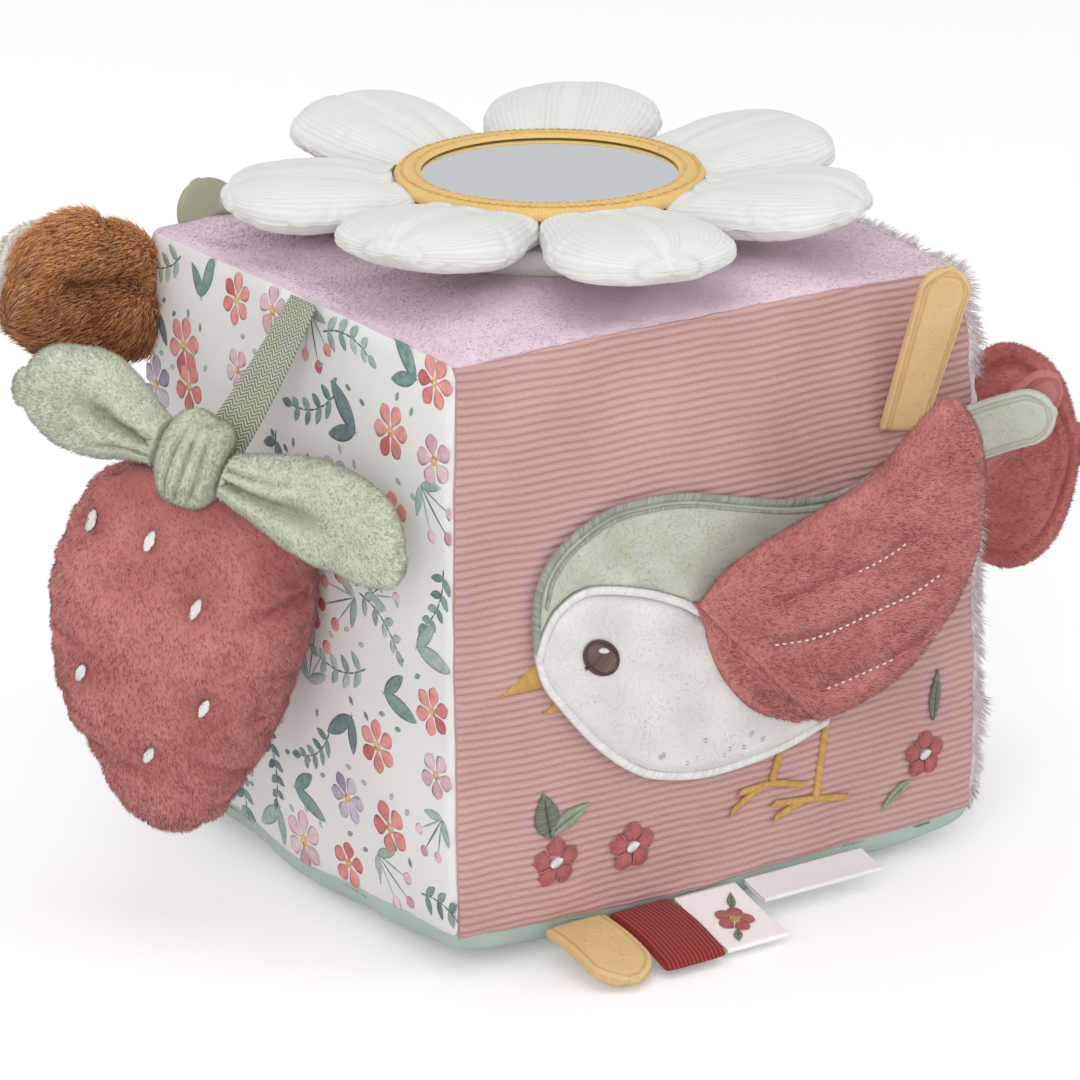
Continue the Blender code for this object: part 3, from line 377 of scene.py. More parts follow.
LILAC = plush("lilac_plush", (201, 175, 190), (248, 229, 241), patch=16 * MM, mottle=0.3)
BACK_LILAC = plush("lilac_plush_back", (201, 175, 190), (248, 229, 241), patch=16 * MM, mottle=0.3)
CORDUROY = plush("pink_corduroy", (162, 110, 106), (218, 183, 178), patch=20 * MM, mottle=0.12, contrast=0.4)
COTTON = Finish(
    "white_cotton", (214, 213, 212), (244, 243, 241), Weave.PLAIN, 0.5 * MM, 12 * MM, 0.1, 0.3, 0.05 * MM
)
MINT = Finish(
    "mint_cotton", (150, 172, 160), (198, 212, 203), Weave.PLAIN, 0.6 * MM, 10 * MM, 0.25, 0.3, 0.05 * MM
)
FLEECE = plush("pale_fleece", (228, 211, 210), (253, 243, 242), grain=0.9 * MM)
DAISY = plush("white_velour", (206, 205, 200), (241, 241, 237), grain=0.3 * MM, mottle=0.1, relief=0.06 * MM)
MUSTARD = velour("mustard_velour", (193, 155, 100), (239, 210, 161), 0.2, 0.04 * MM)
BINDING = Finish(
    "mustard_binding", (214, 170, 94), (250, 216, 146), Weave.TWILL, 0.8 * MM, 6 * MM, 0.15, 0.5, 0.08 * MM
)
CORAL = plush("coral_plush", (155, 80, 77), (217, 146, 140), patch=12 * MM, mottle=0.42)
DEEP_CORAL = plush("deep_coral_plush", (150, 74, 70), (214, 134, 126), patch=12 * MM, mottle=0.3)
SAGE = plush("sage_plush", (169, 175, 148), (225, 229, 210), mottle=0.28)
SAGE_VELOUR = velour("sage_velour", (163, 166, 148), (217, 219, 205), 0.3)
OLIVE = velour("olive_velour", (136, 138, 114), (184, 186, 160), 0.2, 0.04 * MM)
CREAM = velour("cream_velour", (201, 197, 193), (240, 237, 234), 0.15)
TWILL = Finish(
    "sage_twill", (118, 122, 102), (196, 200, 180), Weave.TWILL, MM, 8 * MM, 0.1, 1.0, 0.25 * MM
)
BURGUNDY = Finish(
    "burgundy_rib", (112, 26, 24), (166, 66, 62), Weave.SATIN, 1.1 * MM, 8 * MM, 0.1, 0.9, 0.3 * MM
)
SATIN = ribbon("white_satin", (242, 239, 237), (255, 253, 251))
LABEL = ribbon("label_satin", (224, 224, 222), (250, 250, 248))
BROWN = plush("brown_fur", (132, 72, 40), (250, 184, 126), grain=0.8 * MM, patch=7 * MM, mottle=0.3)
CREAM_FUR = plush("cream_fur", (216, 206, 194), (246, 240, 232), grain=0.8 * MM)
FELT = Finish("cream_felt", (212, 208, 200), (236, 233, 227), Weave.FELT, 0.7 * MM)
FOAM = Finish("white_foam", (224, 220, 208), (246, 244, 236), Weave.FELT, 1.2 * MM)
SHELL = hard("rattle_plastic", (196, 198, 202), (214, 216, 220), 2 * MM, 0.01 * MM, 0.4)
BALL = hard("rattle_ball_plastic", (206, 150, 80), (226, 172, 100), 2 * MM, 0.01 * MM, 0.4)
FILM = hard("crinkle_foil", (200, 200, 206), (226, 226, 232), 3 * MM, 0.3 * MM, 0.3)
MIRROR = Finish(
    "mirror_film", (240, 245, 250), (244, 249, 254), Weave.SMOOTH, 20 * MM, 60 * MM, 0.1, 0.1, 0.004 * MM,
    0.06, 0.0, 1.0,
)
BINDING_THREAD = thread("binding_thread", (214, 168, 92), (248, 212, 140))
GOLD_THREAD = thread("gold_thread", (186, 138, 64), (228, 190, 116))
CORAL_THREAD = thread("coral_thread", (158, 78, 80), (208, 126, 124))
WHITE_THREAD = thread("white_thread", (222, 221, 218), (252, 251, 249), 0.45)
SILVER_THREAD = thread("silver_green_thread", (128, 132, 118), (190, 194, 182), 0.45)
BROWN_THREAD = thread("brown_thread", (86, 66, 60), (146, 122, 112))
WING_THREAD = thread("wing_thread", (166, 94, 90), (214, 140, 134), 0.6)
DARK_THREAD = thread("dark_brown_thread", (66, 50, 46), (104, 84, 78))
LEAF_THREAD = thread("leaf_green_thread", (88, 98, 80), (148, 156, 136))
PALE_LEAF_THREAD = thread("pale_leaf_thread", (134, 146, 124), (186, 194, 174))
GREY_THREAD = thread("grey_thread", (178, 175, 172), (206, 203, 200))
INKS = {
    name: ink(name, dark, light)
    for name, dark, light in (
        ("coral", (192, 98, 98), (232, 160, 154)), ("rose", (196, 150, 156), (230, 204, 206)),
        ("lilac", (150, 136, 160), (206, 196, 214)), ("teal", (84, 114, 112), (152, 178, 172)),
        ("sage", (126, 150, 136), (190, 206, 194)), ("slate", (84, 100, 106), (134, 152, 156)),
        ("ochre", (184, 138, 80), (226, 192, 140)),
    )
}


# ------- pieces made of whole arrays


def tube_faces(rows: int, sides: int) -> list[Array]:
    """Faces of a tube of rings, with a flat cap on each end.

    Args:
        rows: How many rings it has.
        sides: How many points each ring has.

    Returns:
        The quads, the first cap and the last cap.
    """
    i, j = np.meshgrid(np.arange(rows - 1), np.arange(sides), indexing="ij")
    k, near, far = (j + 1) % sides, i * sides, (i + 1) * sides
    quads = np.stack([near + j, near + k, far + k, far + j], axis=-1)
    first = np.arange(sides)[::-1][None]
    last = (np.arange(sides) + (rows - 1) * sides)[None]
    return [quads.reshape(-1, 4), first, last]


class Piece:
    """Points and faces that together make one piece of the toy."""

    def __init__(self, name: str) -> None:
        """Starts an empty piece.

        Args:
            name: The name of its object.
        """
        self.name = name
        self.points: list[Array] = []
        self.faces: list[tuple[Array, int]] = []
        self.tones: list[Array] = []
        self.lays: list[Array] = []
        self.finishes: list[Finish] = []
        self.count = 0

    def add(
        self, points: Array, faces: Sequence[Array], finish: Finish,
        tone: Array | float = 0.5, lay: Array | None = None,
    ) -> None:
        """Adds points and their faces.

        Args:
            points: An array whose last axis is a place.
            faces: Arrays of point numbers, one array for each count of corners.
            finish: What the faces are made of.
            tone: How light each point is, from 0 to 1.
            lay: Where each point lies on the flat cloth, across and along.
        """
        points = points.reshape(-1, 3)
        if finish not in self.finishes:
            self.finishes.append(finish)
        slot = self.finishes.index(finish)
        self.faces += [(np.asarray(part) + self.count, slot) for part in faces]
        self.points.append(points)
        self.tones.append(np.broadcast_to(np.ravel(tone).astype(float), (len(points),)))
        flat = np.zeros((len(points), 3))
        if lay is not None:
            flat[:, :2] = lay.reshape(-1, 2)
        self.lays.append(flat)
        self.count += len(points)

    def grid(
        self, points: Array, finish: Finish, wrap: bool = False, flip: bool = False,
        tone: Array | float = 0.5, lay: Array | None = None, close: bool = False,
    ) -> None:
        """Adds a grid of points (rows, columns, 3), closed round where wrap is set.

        Args:
            points: The grid.
            finish: What it is made of.
            wrap: Whether the last column joins the first.
            flip: Whether its faces look the other way.
            tone: How light each point is.
            lay: Where each point lies on the flat cloth.
            close: Whether both ends of a wrapped grid get a fan to their middle.
        """
        rows, columns = points.shape[:2]
        i, j = np.meshgrid(np.arange(rows - 1), np.arange(columns if wrap else columns - 1), indexing="ij")
        k, near, far = (j + 1) % columns, i * columns, (i + 1) * columns
        faces = [np.stack([near + j, far + j, far + k, near + k], axis=-1).reshape(-1, 4)]
        flat_points = points.reshape(-1, 3)
        tone = np.broadcast_to(np.asarray(tone, float), points.shape[:2]).reshape(-1)
        lay = np.zeros((rows, columns, 2)) if lay is None else lay
        lay = lay.reshape(-1, 2)
        if close:
            step = np.arange(columns)
            after = (step + 1) % columns
            base, last = rows * columns, (rows - 1) * columns
            start = np.stack([np.full(columns, base), step, after], axis=1)
            end = np.stack([np.full(columns, base + 1), last + after, last + step], axis=1)
            faces += [start, end]
            flat_points = np.vstack([flat_points, points[0].mean(0), points[-1].mean(0)])
            tone = np.r_[tone, tone[0], tone[-1]]
            lay = np.vstack([lay, lay[0], lay[-1]])
        if flip:
            faces = [part[:, ::-1] for part in faces]
        self.add(flat_points, faces, finish, tone, lay)

    def bag(self, points: Array, finish: Finish, tone: Array | float = 0.5, lay: Array | None = None) -> None:
        """Adds a grid that wraps round and is closed at both ends, its faces outwards."""
        self.grid(points, finish, wrap=True, flip=True, close=True, tone=tone, lay=lay)

    def copies(
        self, shapes: Array, faces: Sequence[Array], finish: Finish, tone: Array | float = 0.5
    ) -> None:
        """Adds many shapes that share one set of faces.

        Args:
            shapes: Their points (n, k, 3).
            faces: Arrays of point numbers for one shape.
            finish: What they are made of.
            tone: How light each shape is.
        """
        n, k = shapes.shape[:2]
        start = (np.arange(n) * k)[:, None, None]
        many = [(part[None] + start).reshape(-1, part.shape[1]) for part in faces]
        tone = np.repeat(np.broadcast_to(tone, (n,)), k)
        self.add(shapes, many, finish, tone)

    def build(self, body: str, replaces: Sequence[str] = (), fill: float | None = None) -> bpy.types.Object:
        """Makes the mesh and puts it on its body.

        Args:
            body: The name of the body that it moves with.
            replaces: The nodes that it stands for.
            fill: How full it is stuffed, where it is padded; not used.

        Returns:
            The object.
        """
        mesh = bpy.data.meshes.new(self.name)
        points = np.concatenate(self.points)
        sizes = np.concatenate([np.full(len(part), part.shape[1]) for part, _ in self.faces])
        slots = np.concatenate([np.full(len(part), slot) for part, slot in self.faces])
        corners = np.concatenate([part.ravel() for part, _ in self.faces])
        mesh.vertices.add(len(points))
        mesh.vertices.foreach_set("co", points.astype(np.float32).ravel())
        mesh.loops.add(len(corners))
        mesh.loops.foreach_set("vertex_index", corners.astype(np.int32))
        mesh.polygons.add(len(sizes))
        mesh.polygons.foreach_set("loop_start", (np.cumsum(sizes) - sizes).astype(np.int32))
        mesh.polygons.foreach_set("material_index", slots.astype(np.int32))
        mesh.update(calc_edges=True)
        mesh.validate()
        mesh.shade_smooth()
        mesh.attributes.new("tone", "FLOAT", "POINT").data.foreach_set(
            "value", np.concatenate(self.tones).astype(np.float32)
        )
        mesh.attributes.new("lay", "FLOAT_VECTOR", "POINT").data.foreach_set(
            "vector", np.concatenate(self.lays).astype(np.float32).ravel()
        )
        for finish in self.finishes:
            mesh.materials.append(finish.material())
        made = bpy.data.objects.new(self.name, mesh)
        bpy.context.scene.collection.objects.link(made)
        if body:
            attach(made, body)
        if replaces:
            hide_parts(*replaces)
        triangles = int((sizes - 2).sum())
        log.info("%s: %d triangles on %s", self.name, triangles, body)
        return made


@dataclass(frozen=True)
class Pile:
    """Loose fibres that stand on a surface and lean one way; their open roots are buried in it."""

    count: int
    length: float
    width: float
    lean: float = 0.8
    ruffle: float = 0.35
    seed: int = 1
    curled: bool = False

    def grow(
        self, piece: Piece, points: Array, finish: Finish, sweep: Array, wrap: bool = False,
        flip: bool = False, weight: Array | None = None, painted_shading: Array | None = None,
    ) -> None:
        """Grows the fibres on a grid.

        Each root is a random point of a cell, chosen by the cell's area. Its tip lies at
        root + length * (normal + lean * sweep + ruffle * a random way), brought to length.

        Args:
            piece: The piece that gets the fibres.
            points: The grid they stand on.
            finish: What they are made of.
            sweep: The way they lie, one for all or one for each grid point.
            wrap: Whether the grid closes round.
            flip: Whether its normals point inwards.
            weight: How thickly they stand at each grid point, from 0 to 1.
            painted_shading: How light they are at each grid point, from 0 to 1: painted light and shade.
        """
        draw = np.random.default_rng(self.seed)
        normals = normals_of(points, wrap) * (-1 if flip else 1)
        sweep = np.broadcast_to(np.asarray(sweep, float), points.shape)
        weight = np.ones(points.shape[:2]) if weight is None else weight
        painted_shading = np.full(points.shape[:2], 0.5) if painted_shading is None else painted_shading
        if wrap:
            fields = points, normals, sweep, weight, painted_shading
            closed = (np.concatenate([part, part[:, :1]], axis=1) for part in fields)
            points, normals, sweep, weight, painted_shading = closed
        edge_a = points[1:, :-1] - points[:-1, :-1]
        edge_b = points[:-1, 1:] - points[:-1, :-1]
        area = np.linalg.norm(np.cross(edge_a, edge_b), axis=-1) * weight[:-1, :-1]
        total = np.cumsum(area.ravel())
        pick = np.searchsorted(total, draw.uniform(0, total[-1], self.count))
        i, j = np.unravel_index(np.minimum(pick, area.size - 1), area.shape)
        u, v = draw.uniform(size=(2, self.count, 1))

        def between(field_: Array) -> Array:
            """The field at the chosen places, mixed from the four corners of their cells."""
            near, far = (field_[row, j] * (1 - v) + field_[row, j + 1] * v for row in (i, i + 1))
            return near * (1 - u) + far * u

        root, normal, way = between(points), unit(between(normals)), between(sweep)
        clump = np.stack([ripple(root, 5 * self.length, self.seed + k) for k in range(3)], axis=1)
        way = way - (way * normal).sum(1, keepdims=True) * normal
        stray = draw.normal(size=root.shape) * 0.5 + clump
        heading = unit(normal + self.lean * unit(way) + self.ruffle * stray)
        length = self.length * draw.uniform(0.6, 1.15, (self.count, 1))
        side = unit(np.cross(heading, normal + 0.01 * stray))
        across = np.cross(side, heading)
        turn = 2 * math.pi * np.arange(3) / 3
        ring = np.cos(turn)[:, None] * side[:, None] + np.sin(turn)[:, None] * across[:, None]
        base = (root - 0.25 * self.length * normal)[:, None] + ring * self.width / 2
        stray_tone = 0.16 * draw.normal(size=self.count) + 0.12 * clump[:, 0]
        tone = np.clip(between(painted_shading[..., None])[:, 0] + stray_tone, 0, 1)
        if not self.curled:
            tip = (root + length * heading)[:, None]
            faces = [np.array([(0, 1, 3), (1, 2, 3), (2, 0, 3)])]
            piece.copies(np.concatenate([base, tip], axis=1), faces, finish, tone)
            return
        middle = (root + length * 0.5 * unit(heading + 0.5 * normal))[:, None] + ring * self.width * 0.4
        tip = (root + length * unit(heading + 0.3 * unit(way)))[:, None]
        quads = np.array([(0, 1, 4, 3), (1, 2, 5, 4), (2, 0, 3, 5)])
        ends = np.array([(3, 4, 6), (4, 5, 6), (5, 3, 6)])
        piece.copies(np.concatenate([base, middle, tip], axis=1), [quads, ends], finish, tone)


@dataclass(frozen=True)
class Needlework:
    """Embroidery and top stitching on a piece, thread by thread."""

    piece: Piece
    place: Place
    width: float = 0.5 * MM
    rise: float = 0.35 * MM
    lift: float = 0.0

    def threads(self, first: Array, second: Array, finish: Finish, lift: float = 0.0) -> None:
        """Adds one thread from each first place to each second place.

        A thread is a thin four-sided tube through five rings. It humps by
        rise * sqrt(1 - (2t - 1)^2) between its ends, where t runs from 0 to 1.

        Args:
            first: Flat places (n, 2) where threads start.
            second: Flat places (n, 2) where they end.
            finish: The thread.
            lift: Extra height above the surface.
        """
        t = np.array((0.0, 0.14, 0.5, 0.86, 1.0))
        girth = np.array((0.25, 0.9, 1.0, 0.9, 0.25))
        line = first[:, None] * (1 - t)[:, None] + second[:, None] * t[:, None]
        way = unit(second - first)
        side = left_of(way)[:, None] * (girth * self.width / 2)[:, None]
        hump = np.broadcast_to(np.sqrt(np.clip(1 - (2 * t - 1) ** 2, 0, 1)) * self.rise, line.shape[:2])
        hump = hump + self.lift + lift
        half = girth * self.width / 2
        rings = np.stack([
            self.place(line + side, hump), self.place(line, hump + half),
            self.place(line - side, hump), self.place(line, hump - half),
        ], axis=2)
        draw = np.random.default_rng(len(first))
        tone = np.clip(0.55 + 0.15 * draw.normal(size=len(first)), 0, 1)
        self.piece.copies(rings.reshape(len(first), -1, 3), tube_faces(5, 4), finish, tone)

    def border(
        self, line: Sequence, width: float, finish: Finish, slant: float = 0.5, lift: float = 0.0
    ) -> None:
        """Satin stitch across a line, its threads side by side at line +- width / 2.

        Args:
            line: Flat places that the border's middle passes.
            width: The border's width.
            finish: The thread.
            slant: How far the threads lean along the line, as a share of their half length.
            lift: Extra height above the surface.
        """
        spots = even_curve(line, max(int(walked(line)[-1] / (0.8 * self.width)), 3))
        way = unit(np.gradient(spots, axis=0))
        across = left_of(way) * width / 2
        shift = way * slant * width / 2
        self.threads(spots + across + shift, spots - across - shift, finish, lift)

    def run(self, line: Array, stitch: float, gap: float, finish: Finish, lift: float = 0.0) -> None:
        """Running stitch: short threads along a line with gaps between them.

        Args:
            line: Flat places that the stitches pass.
            stitch: The length of a stitch.
            gap: The length of a gap.
            finish: The thread.
            lift: Extra height above the surface.
        """
        count = max(int(walked(line)[-1] / (stitch + gap)), 1)
        spots = even_curve(line, 2 * count + 1)
        first, last = spots[0:-1:2], spots[2::2]
        self.threads(first, first + (last - first) * stitch / (stitch + gap), finish, lift)

    def fill(self, first: Sequence, second: Sequence, finish: Finish, lift: float = 0.0) -> None:
        """Satin stitch between two outlines.

        Args:
            first: Flat places of one outline.
            second: Flat places of the other.
            finish: The thread.
            lift: Extra height above the surface.
        """
        length = max(walked(first)[-1], walked(second)[-1])
        count = max(int(length / (0.8 * self.width)), 4)
        self.threads(even_curve(first, count), even_curve(second, count), finish, lift)

    def ellipse(
        self, middle: Sequence, long: float, short: float, turn: float, finish: Finish, lift: float = 0.0
    ) -> None:
        """A filled ellipse; its threads run along its short axis.

        Args:
            middle: Its flat place.
            long: Its length.
            short: Its width.
            turn: The angle of its length.
            finish: The thread.
            lift: Extra height above the surface.
        """
        t = np.linspace(-0.97, 0.97, 24)
        spine = np.asarray(middle) + t[:, None] * towards(turn) * long / 2
        half = np.sqrt(1 - t**2)[:, None] * left_of(towards(turn)) * short / 2
        self.fill(spine + half, spine - half, finish, lift)

    def leaf(self, root: Sequence, tip: Sequence, width: float, finish: Finish) -> None:
        """A leaf of two rows of slanting threads that meet in its middle rib.

        Args:
            root: The flat place of its stalk.
            tip: The flat place of its tip.
            width: Its full width.
            finish: The thread.
        """
        root, tip = np.asarray(root, float), np.asarray(tip, float)
        t = np.linspace(0.02, 0.98, 16)[:, None]
        rib = root + (tip - root) * np.clip(t - 0.12, 0, 1)
        side = left_of(unit(tip - root))
        bulge = np.sin(math.pi * t**0.8) * width / 2
        for way in (1, -1):
            self.fill(rib, root + (tip - root) * t + way * side * bulge, finish)

    def blossom(self, middle: Sequence, radius: float, finish: Finish, heart: Finish) -> None:
        """Five petals of fanned threads round a small heart.

        Args:
            middle: Its flat place.
            radius: How far the petals reach.
            finish: The petals' thread.
            heart: The heart's thread.
        """
        middle = np.asarray(middle, float)
        for turn in np.radians(90 + 72 * np.arange(5)):
            spread = np.linspace(-0.56, 0.56, 13)
            out = radius * (0.74 + 0.26 * np.cos(spread * 2.6))
            inner = middle + 0.24 * radius * towards(turn + spread * 0.5)
            self.threads(inner, middle + out[:, None] * towards(turn + spread), finish)
        self.ellipse(middle, 0.5 * radius, 0.42 * radius, 0.4, heart, 0.3 * MM)


# ------- the stuffed cube and its cloth faces


class Side(Enum):
    """The six faces of the block."""

    FRONT = "front"
    LEFT = "left"
    RIGHT = "right"
    BACK = "back"
    TOP = "top"
    BASE = "base"


WAYS: dict[Side, tuple[Array, Array, Array]] = {
    Side.FRONT: (RIGHT, UP, -BEHIND),
    Side.LEFT: (-BEHIND, UP, -RIGHT),
    Side.RIGHT: (BEHIND, UP, RIGHT),
    Side.BACK: (-RIGHT, UP, BEHIND),
    Side.TOP: (RIGHT, BEHIND, UP),
    Side.BASE: (RIGHT, -BEHIND, -UP),
}


@dataclass
class StuffedCube:
    """The form of the whole block: a cube that leans towards a ball and spreads on one side."""

    width: float = 0.1440
    depth: float = 0.1364
    height: float = 0.1414
    lift: float = 0.0072
    base_swell: float = 0.0065
    ball: float = 0.12
    swell: float = 1.40
    spread_high: float = 0.0015
    spread_low: float = 0.0090
    seam_gap: float = 0.3 * MM

    def __post_init__(self) -> None:
        """Works out the half sizes, the middle, the crowns and the seams."""
        self.halves = np.array((self.width, self.depth, self.height)) / 2
        self.middle = np.array((0, 0, self.height / 2 + self.lift))
        self.crowns = self.halves * (1 - self.ball + self.ball * self.swell)
        self.seams = self.halves * (1 - self.ball + self.ball * self.swell / math.sqrt(2))

    def spread_at(self, height: Array) -> Array:
        """How much further the fleece side stands out at a height above the middle."""
        low = (1 - height / self.halves[2]) / 2
        return self.spread_high + (self.spread_low - self.spread_high) * low

    def spread(self, points: Array) -> Array:
        """Points about the middle, moved towards the fleece side by their share of the width."""
        share = (1 + points[..., :1] / self.halves[0]) / 2
        return points + share * self.spread_at(points[..., 2:]) * RIGHT

    def puffed(self, places: Array, grow: float = 0.0) -> Array:
        """Stuffed points for places on the cube of side 2: a mix of the cube and a ball round it."""
        return self.spread(
            (self.halves + grow) * ((1 - self.ball) * places + self.ball * self.swell * unit(places))
        )

    def slack(self, points: Array) -> Array:
        """How far the cloth at points about the middle strays near the seams.

        It is the point's own direction times soft waves and small puckers, which fade with
        bell(distance from the seam, 13 mm). Faces that share a seam share its waves.

        Args:
            points: Places about the cube's middle.

        Returns:
            The step that each point takes.
        """
        share = np.sort(np.abs(points) / self.halves, axis=-1)[..., 1]
        near = bell(np.clip(1 - share, 0, 1) * self.halves.mean(), 13 * MM)
        waves = 0.75 * MM * (ripple(points, 0.034, 91) - 0.5) + 0.30 * MM * ripple(points, 0.0080, 92)
        return unit(points) * (near * waves)[..., None]

    def skin_out(self, side: Side, p: Array, q: Array) -> Array:
        """How far a face's skin lies from the middle, found by eight steps of substitution.

        Args:
            side: The face.
            p: Offsets to the right of its middle, before the spread.
            q: Offsets above its middle.

        Returns:
            One distance for each offset.
        """
        half_right, half_up, half_out = (abs(way) @ self.halves for way in WAYS[side])
        p, q = np.asarray(p, float) / half_right, np.asarray(q, float) / half_up
        ball = np.zeros(np.broadcast(p, q).shape)
        for _ in range(8):
            a, b = p / (1 - self.ball + ball), q / (1 - self.ball + ball)
            ball = self.ball * self.swell / np.sqrt(a**2 + b**2 + 1)
        return half_out * (1 - self.ball + ball)

    def on(self, side: Side, p: Array, q: Array, lift: Array | float) -> Array:
        """Points on a face.

        Args:
            side: The face.
            p: Offsets to the right of its middle, seen from outside.
            q: Offsets above its middle.
            lift: Heights above its skin.

        Returns:
            An array of places.
        """
        right, up, out = WAYS[side]
        p, q = np.broadcast_arrays(np.asarray(p, float), np.asarray(q, float))
        if right[0]:
            half = self.spread_at(q if up[2] else self.seams[2] * out[2]) / 2
            p = right[0] * (right[0] * p - half) / (1 + half / self.halves[0])
        height = self.skin_out(side, p, q) + lift
        return self.middle + self.spread(p[..., None] * right + q[..., None] * up + height[..., None] * out)


@dataclass
class ClothFace:
    """One sewn face of the block, with its own relief and rolled-in seams."""

    cube: StuffedCube
    side: Side
    name: str
    finish: Finish
    rows: int = 96
    columns: int = 96
    tuck: float = 1.1 * MM
    roll: float = 2.0 * MM
    plump: float = 0.0
    # painted_shading: how strongly the tone follows the relief: painted shade where the cloth sinks, painted
    # light where it rises.
    painted_shading: float = 0.1
    thick: float = 1.5 * MM
    relief: Callable[[Array, Array], Array] | None = None
    # pattern: when given, the relief that sets the painted shade in place of the whole relief.
    pattern: Callable[[Array, Array], Array] | None = None

    def offsets(self, points: Array) -> tuple[Array, Array]:
        """How far points lie to the right of and above the face's middle."""
        about = points - self.cube.middle
        return about @ WAYS[self.side][0], about @ WAYS[self.side][1]

    def points(self) -> Array:
        """The face's grid.

        A place (a, b) from -1 to 1 goes to the stuffed cube. The relief lifts it, and near a
        seam it sinks by tuck * bell(distance) half-way between the two faces that meet there.

        Returns:
            The grid (rows, columns, 3).
        """
        right, up, out = WAYS[self.side]
        shrink = 1 - self.cube.seam_gap / min(self.cube.halves)
        a, b = (np.linspace(-1, 1, n) for n in (self.rows, self.columns))
        a = np.sin(a * math.pi / 2) * 0.5 + a * 0.5
        a, b = np.meshgrid(a * shrink, b * shrink, indexing="ij")
        points = self.cube.puffed(a[..., None] * right + b[..., None] * up + out) + self.cube.middle
        rim_a, rim_b = (np.minimum(np.abs(share / shrink), 1) for share in (a, b))
        rounded = np.sqrt((1 - rim_a**8) * (1 - rim_b**8))
        points = points + (self.plump * rounded)[..., None] * out
        points = points + self.cube.slack(points - self.cube.middle)
        if self.side is Side.BASE:
            points[..., 2] -= self.cube.base_swell * np.cbrt(rounded**2)
            points[..., 2] = np.maximum(points[..., 2], 0)
        if self.relief is not None:
            points = points + self.relief(*self.offsets(points))[..., None] * out
        for share, way in ((a, right), (b, up)):
            gap = (1 - np.abs(share)) * float(abs(way) @ self.cube.halves)
            sink = self.tuck * bell(gap, self.roll)
            points = points - (sink / math.sqrt(2))[..., None] * (out + np.sign(share)[..., None] * way)
        if self.side is Side.BASE:
            points[..., 2] = np.maximum(points[..., 2], 0)
        return points

    def reach(self) -> Array:
        """How far the seams lie from the face's middle, to the right and up."""
        return np.array([float(abs(way) @ self.cube.seams) for way in WAYS[self.side][:2]])

    def place(self, flat: Array, lift: Array) -> Array:
        """Where flat offsets lie on the finished face.

        Args:
            flat: Offsets to the right of and above its middle.
            lift: Heights above its surface.

        Returns:
            An array of places.
        """
        p, q = flat[..., 0], flat[..., 1]
        extra = 0.0 if self.relief is None else self.relief(p, q)
        points = self.cube.on(self.side, p, q, lift + extra)
        return points + self.cube.slack(points - self.cube.middle)

    def start(self) -> tuple[Piece, Array]:
        """Starts the face's piece.

        Returns:
            The piece, with the face's surface, its rim and its back, and the grid itself.
        """
        piece = Piece(self.name)
        points = self.points()
        p, q = self.offsets(points)
        tone = 0.5 + 0.05 * ripple(points, 0.03, 7)
        # Painted shade and light: darker where the pattern, else the relief, sinks and lighter where it
        # rises.
        if self.relief is not None:
            form = (self.pattern or self.relief)(p, q)
            tone = tone + self.painted_shading * (form - form.mean()) / MM
        piece.grid(points, self.finish, lay=np.stack([p, q], axis=-1), tone=np.clip(tone, 0, 1))
        out = WAYS[self.side][2]
        rim = rim_of(points)
        piece.grid(np.stack([rim, rim - self.thick * out]), self.finish, wrap=True)
        piece.grid((points - self.thick * out)[::4, ::4], self.finish, flip=True)
        return piece, points


@dataclass(frozen=True)
class Ribs:
    """Level corduroy ribs: height * |sin(pi q / pitch)|^0.8, a little wavy, on cloth with soft dents."""

    pitch: float
    height: float
    dent: float

    def __call__(self, p: Array, q: Array) -> Array:
        """The height of the cloth.

        Args:
            p: Offsets to the right of the face's middle.
            q: Offsets above it.

        Returns:
            One height for each offset.
        """
        sway = 0.25 * MM * np.sin(p / (9 * MM)) + 0.15 * MM * np.sin(p / (3.7 * MM) + q / (11 * MM))
        ribs = self.height * np.abs(np.sin(math.pi * (q + sway) / self.pitch)) ** 0.8
        return ribs - self.dent * ripple(np.stack([p, q], axis=-1), 0.035, 4)


@dataclass(frozen=True)
class RadialFolds:
    """Soft folds that run out from under the daisy: sines of the angle, faded at both ends."""

    inner: float
    height: float
    count: int

    def __call__(self, p: Array, q: Array) -> Array:
        """The height of the cloth.

        Args:
            p: Offsets to the right of the face's middle.
            q: Offsets above it.

        Returns:
            One height for each offset.
        """
        far, turn = np.hypot(p, q), np.arctan2(q, p)
        wave = np.sin(self.count * turn + 0.9) + 0.6 * np.sin((2 * self.count + 1) * turn + 2.0)
        edge = np.maximum(np.abs(p), np.abs(q))
        return self.height * wave * ramp(far, self.inner, 1.6 * self.inner) * (1 - ramp(edge, 0.055, 0.07))


@dataclass(frozen=True)
class Waves:
    """Slack cloth: height times a soft uneven field."""

    height: float
    size: float
    seed: int

    def __call__(self, p: Array, q: Array) -> Array:
        """The height of the cloth at offsets p and q."""
        return self.height * ripple(np.stack([p, q], axis=-1), self.size, self.seed)


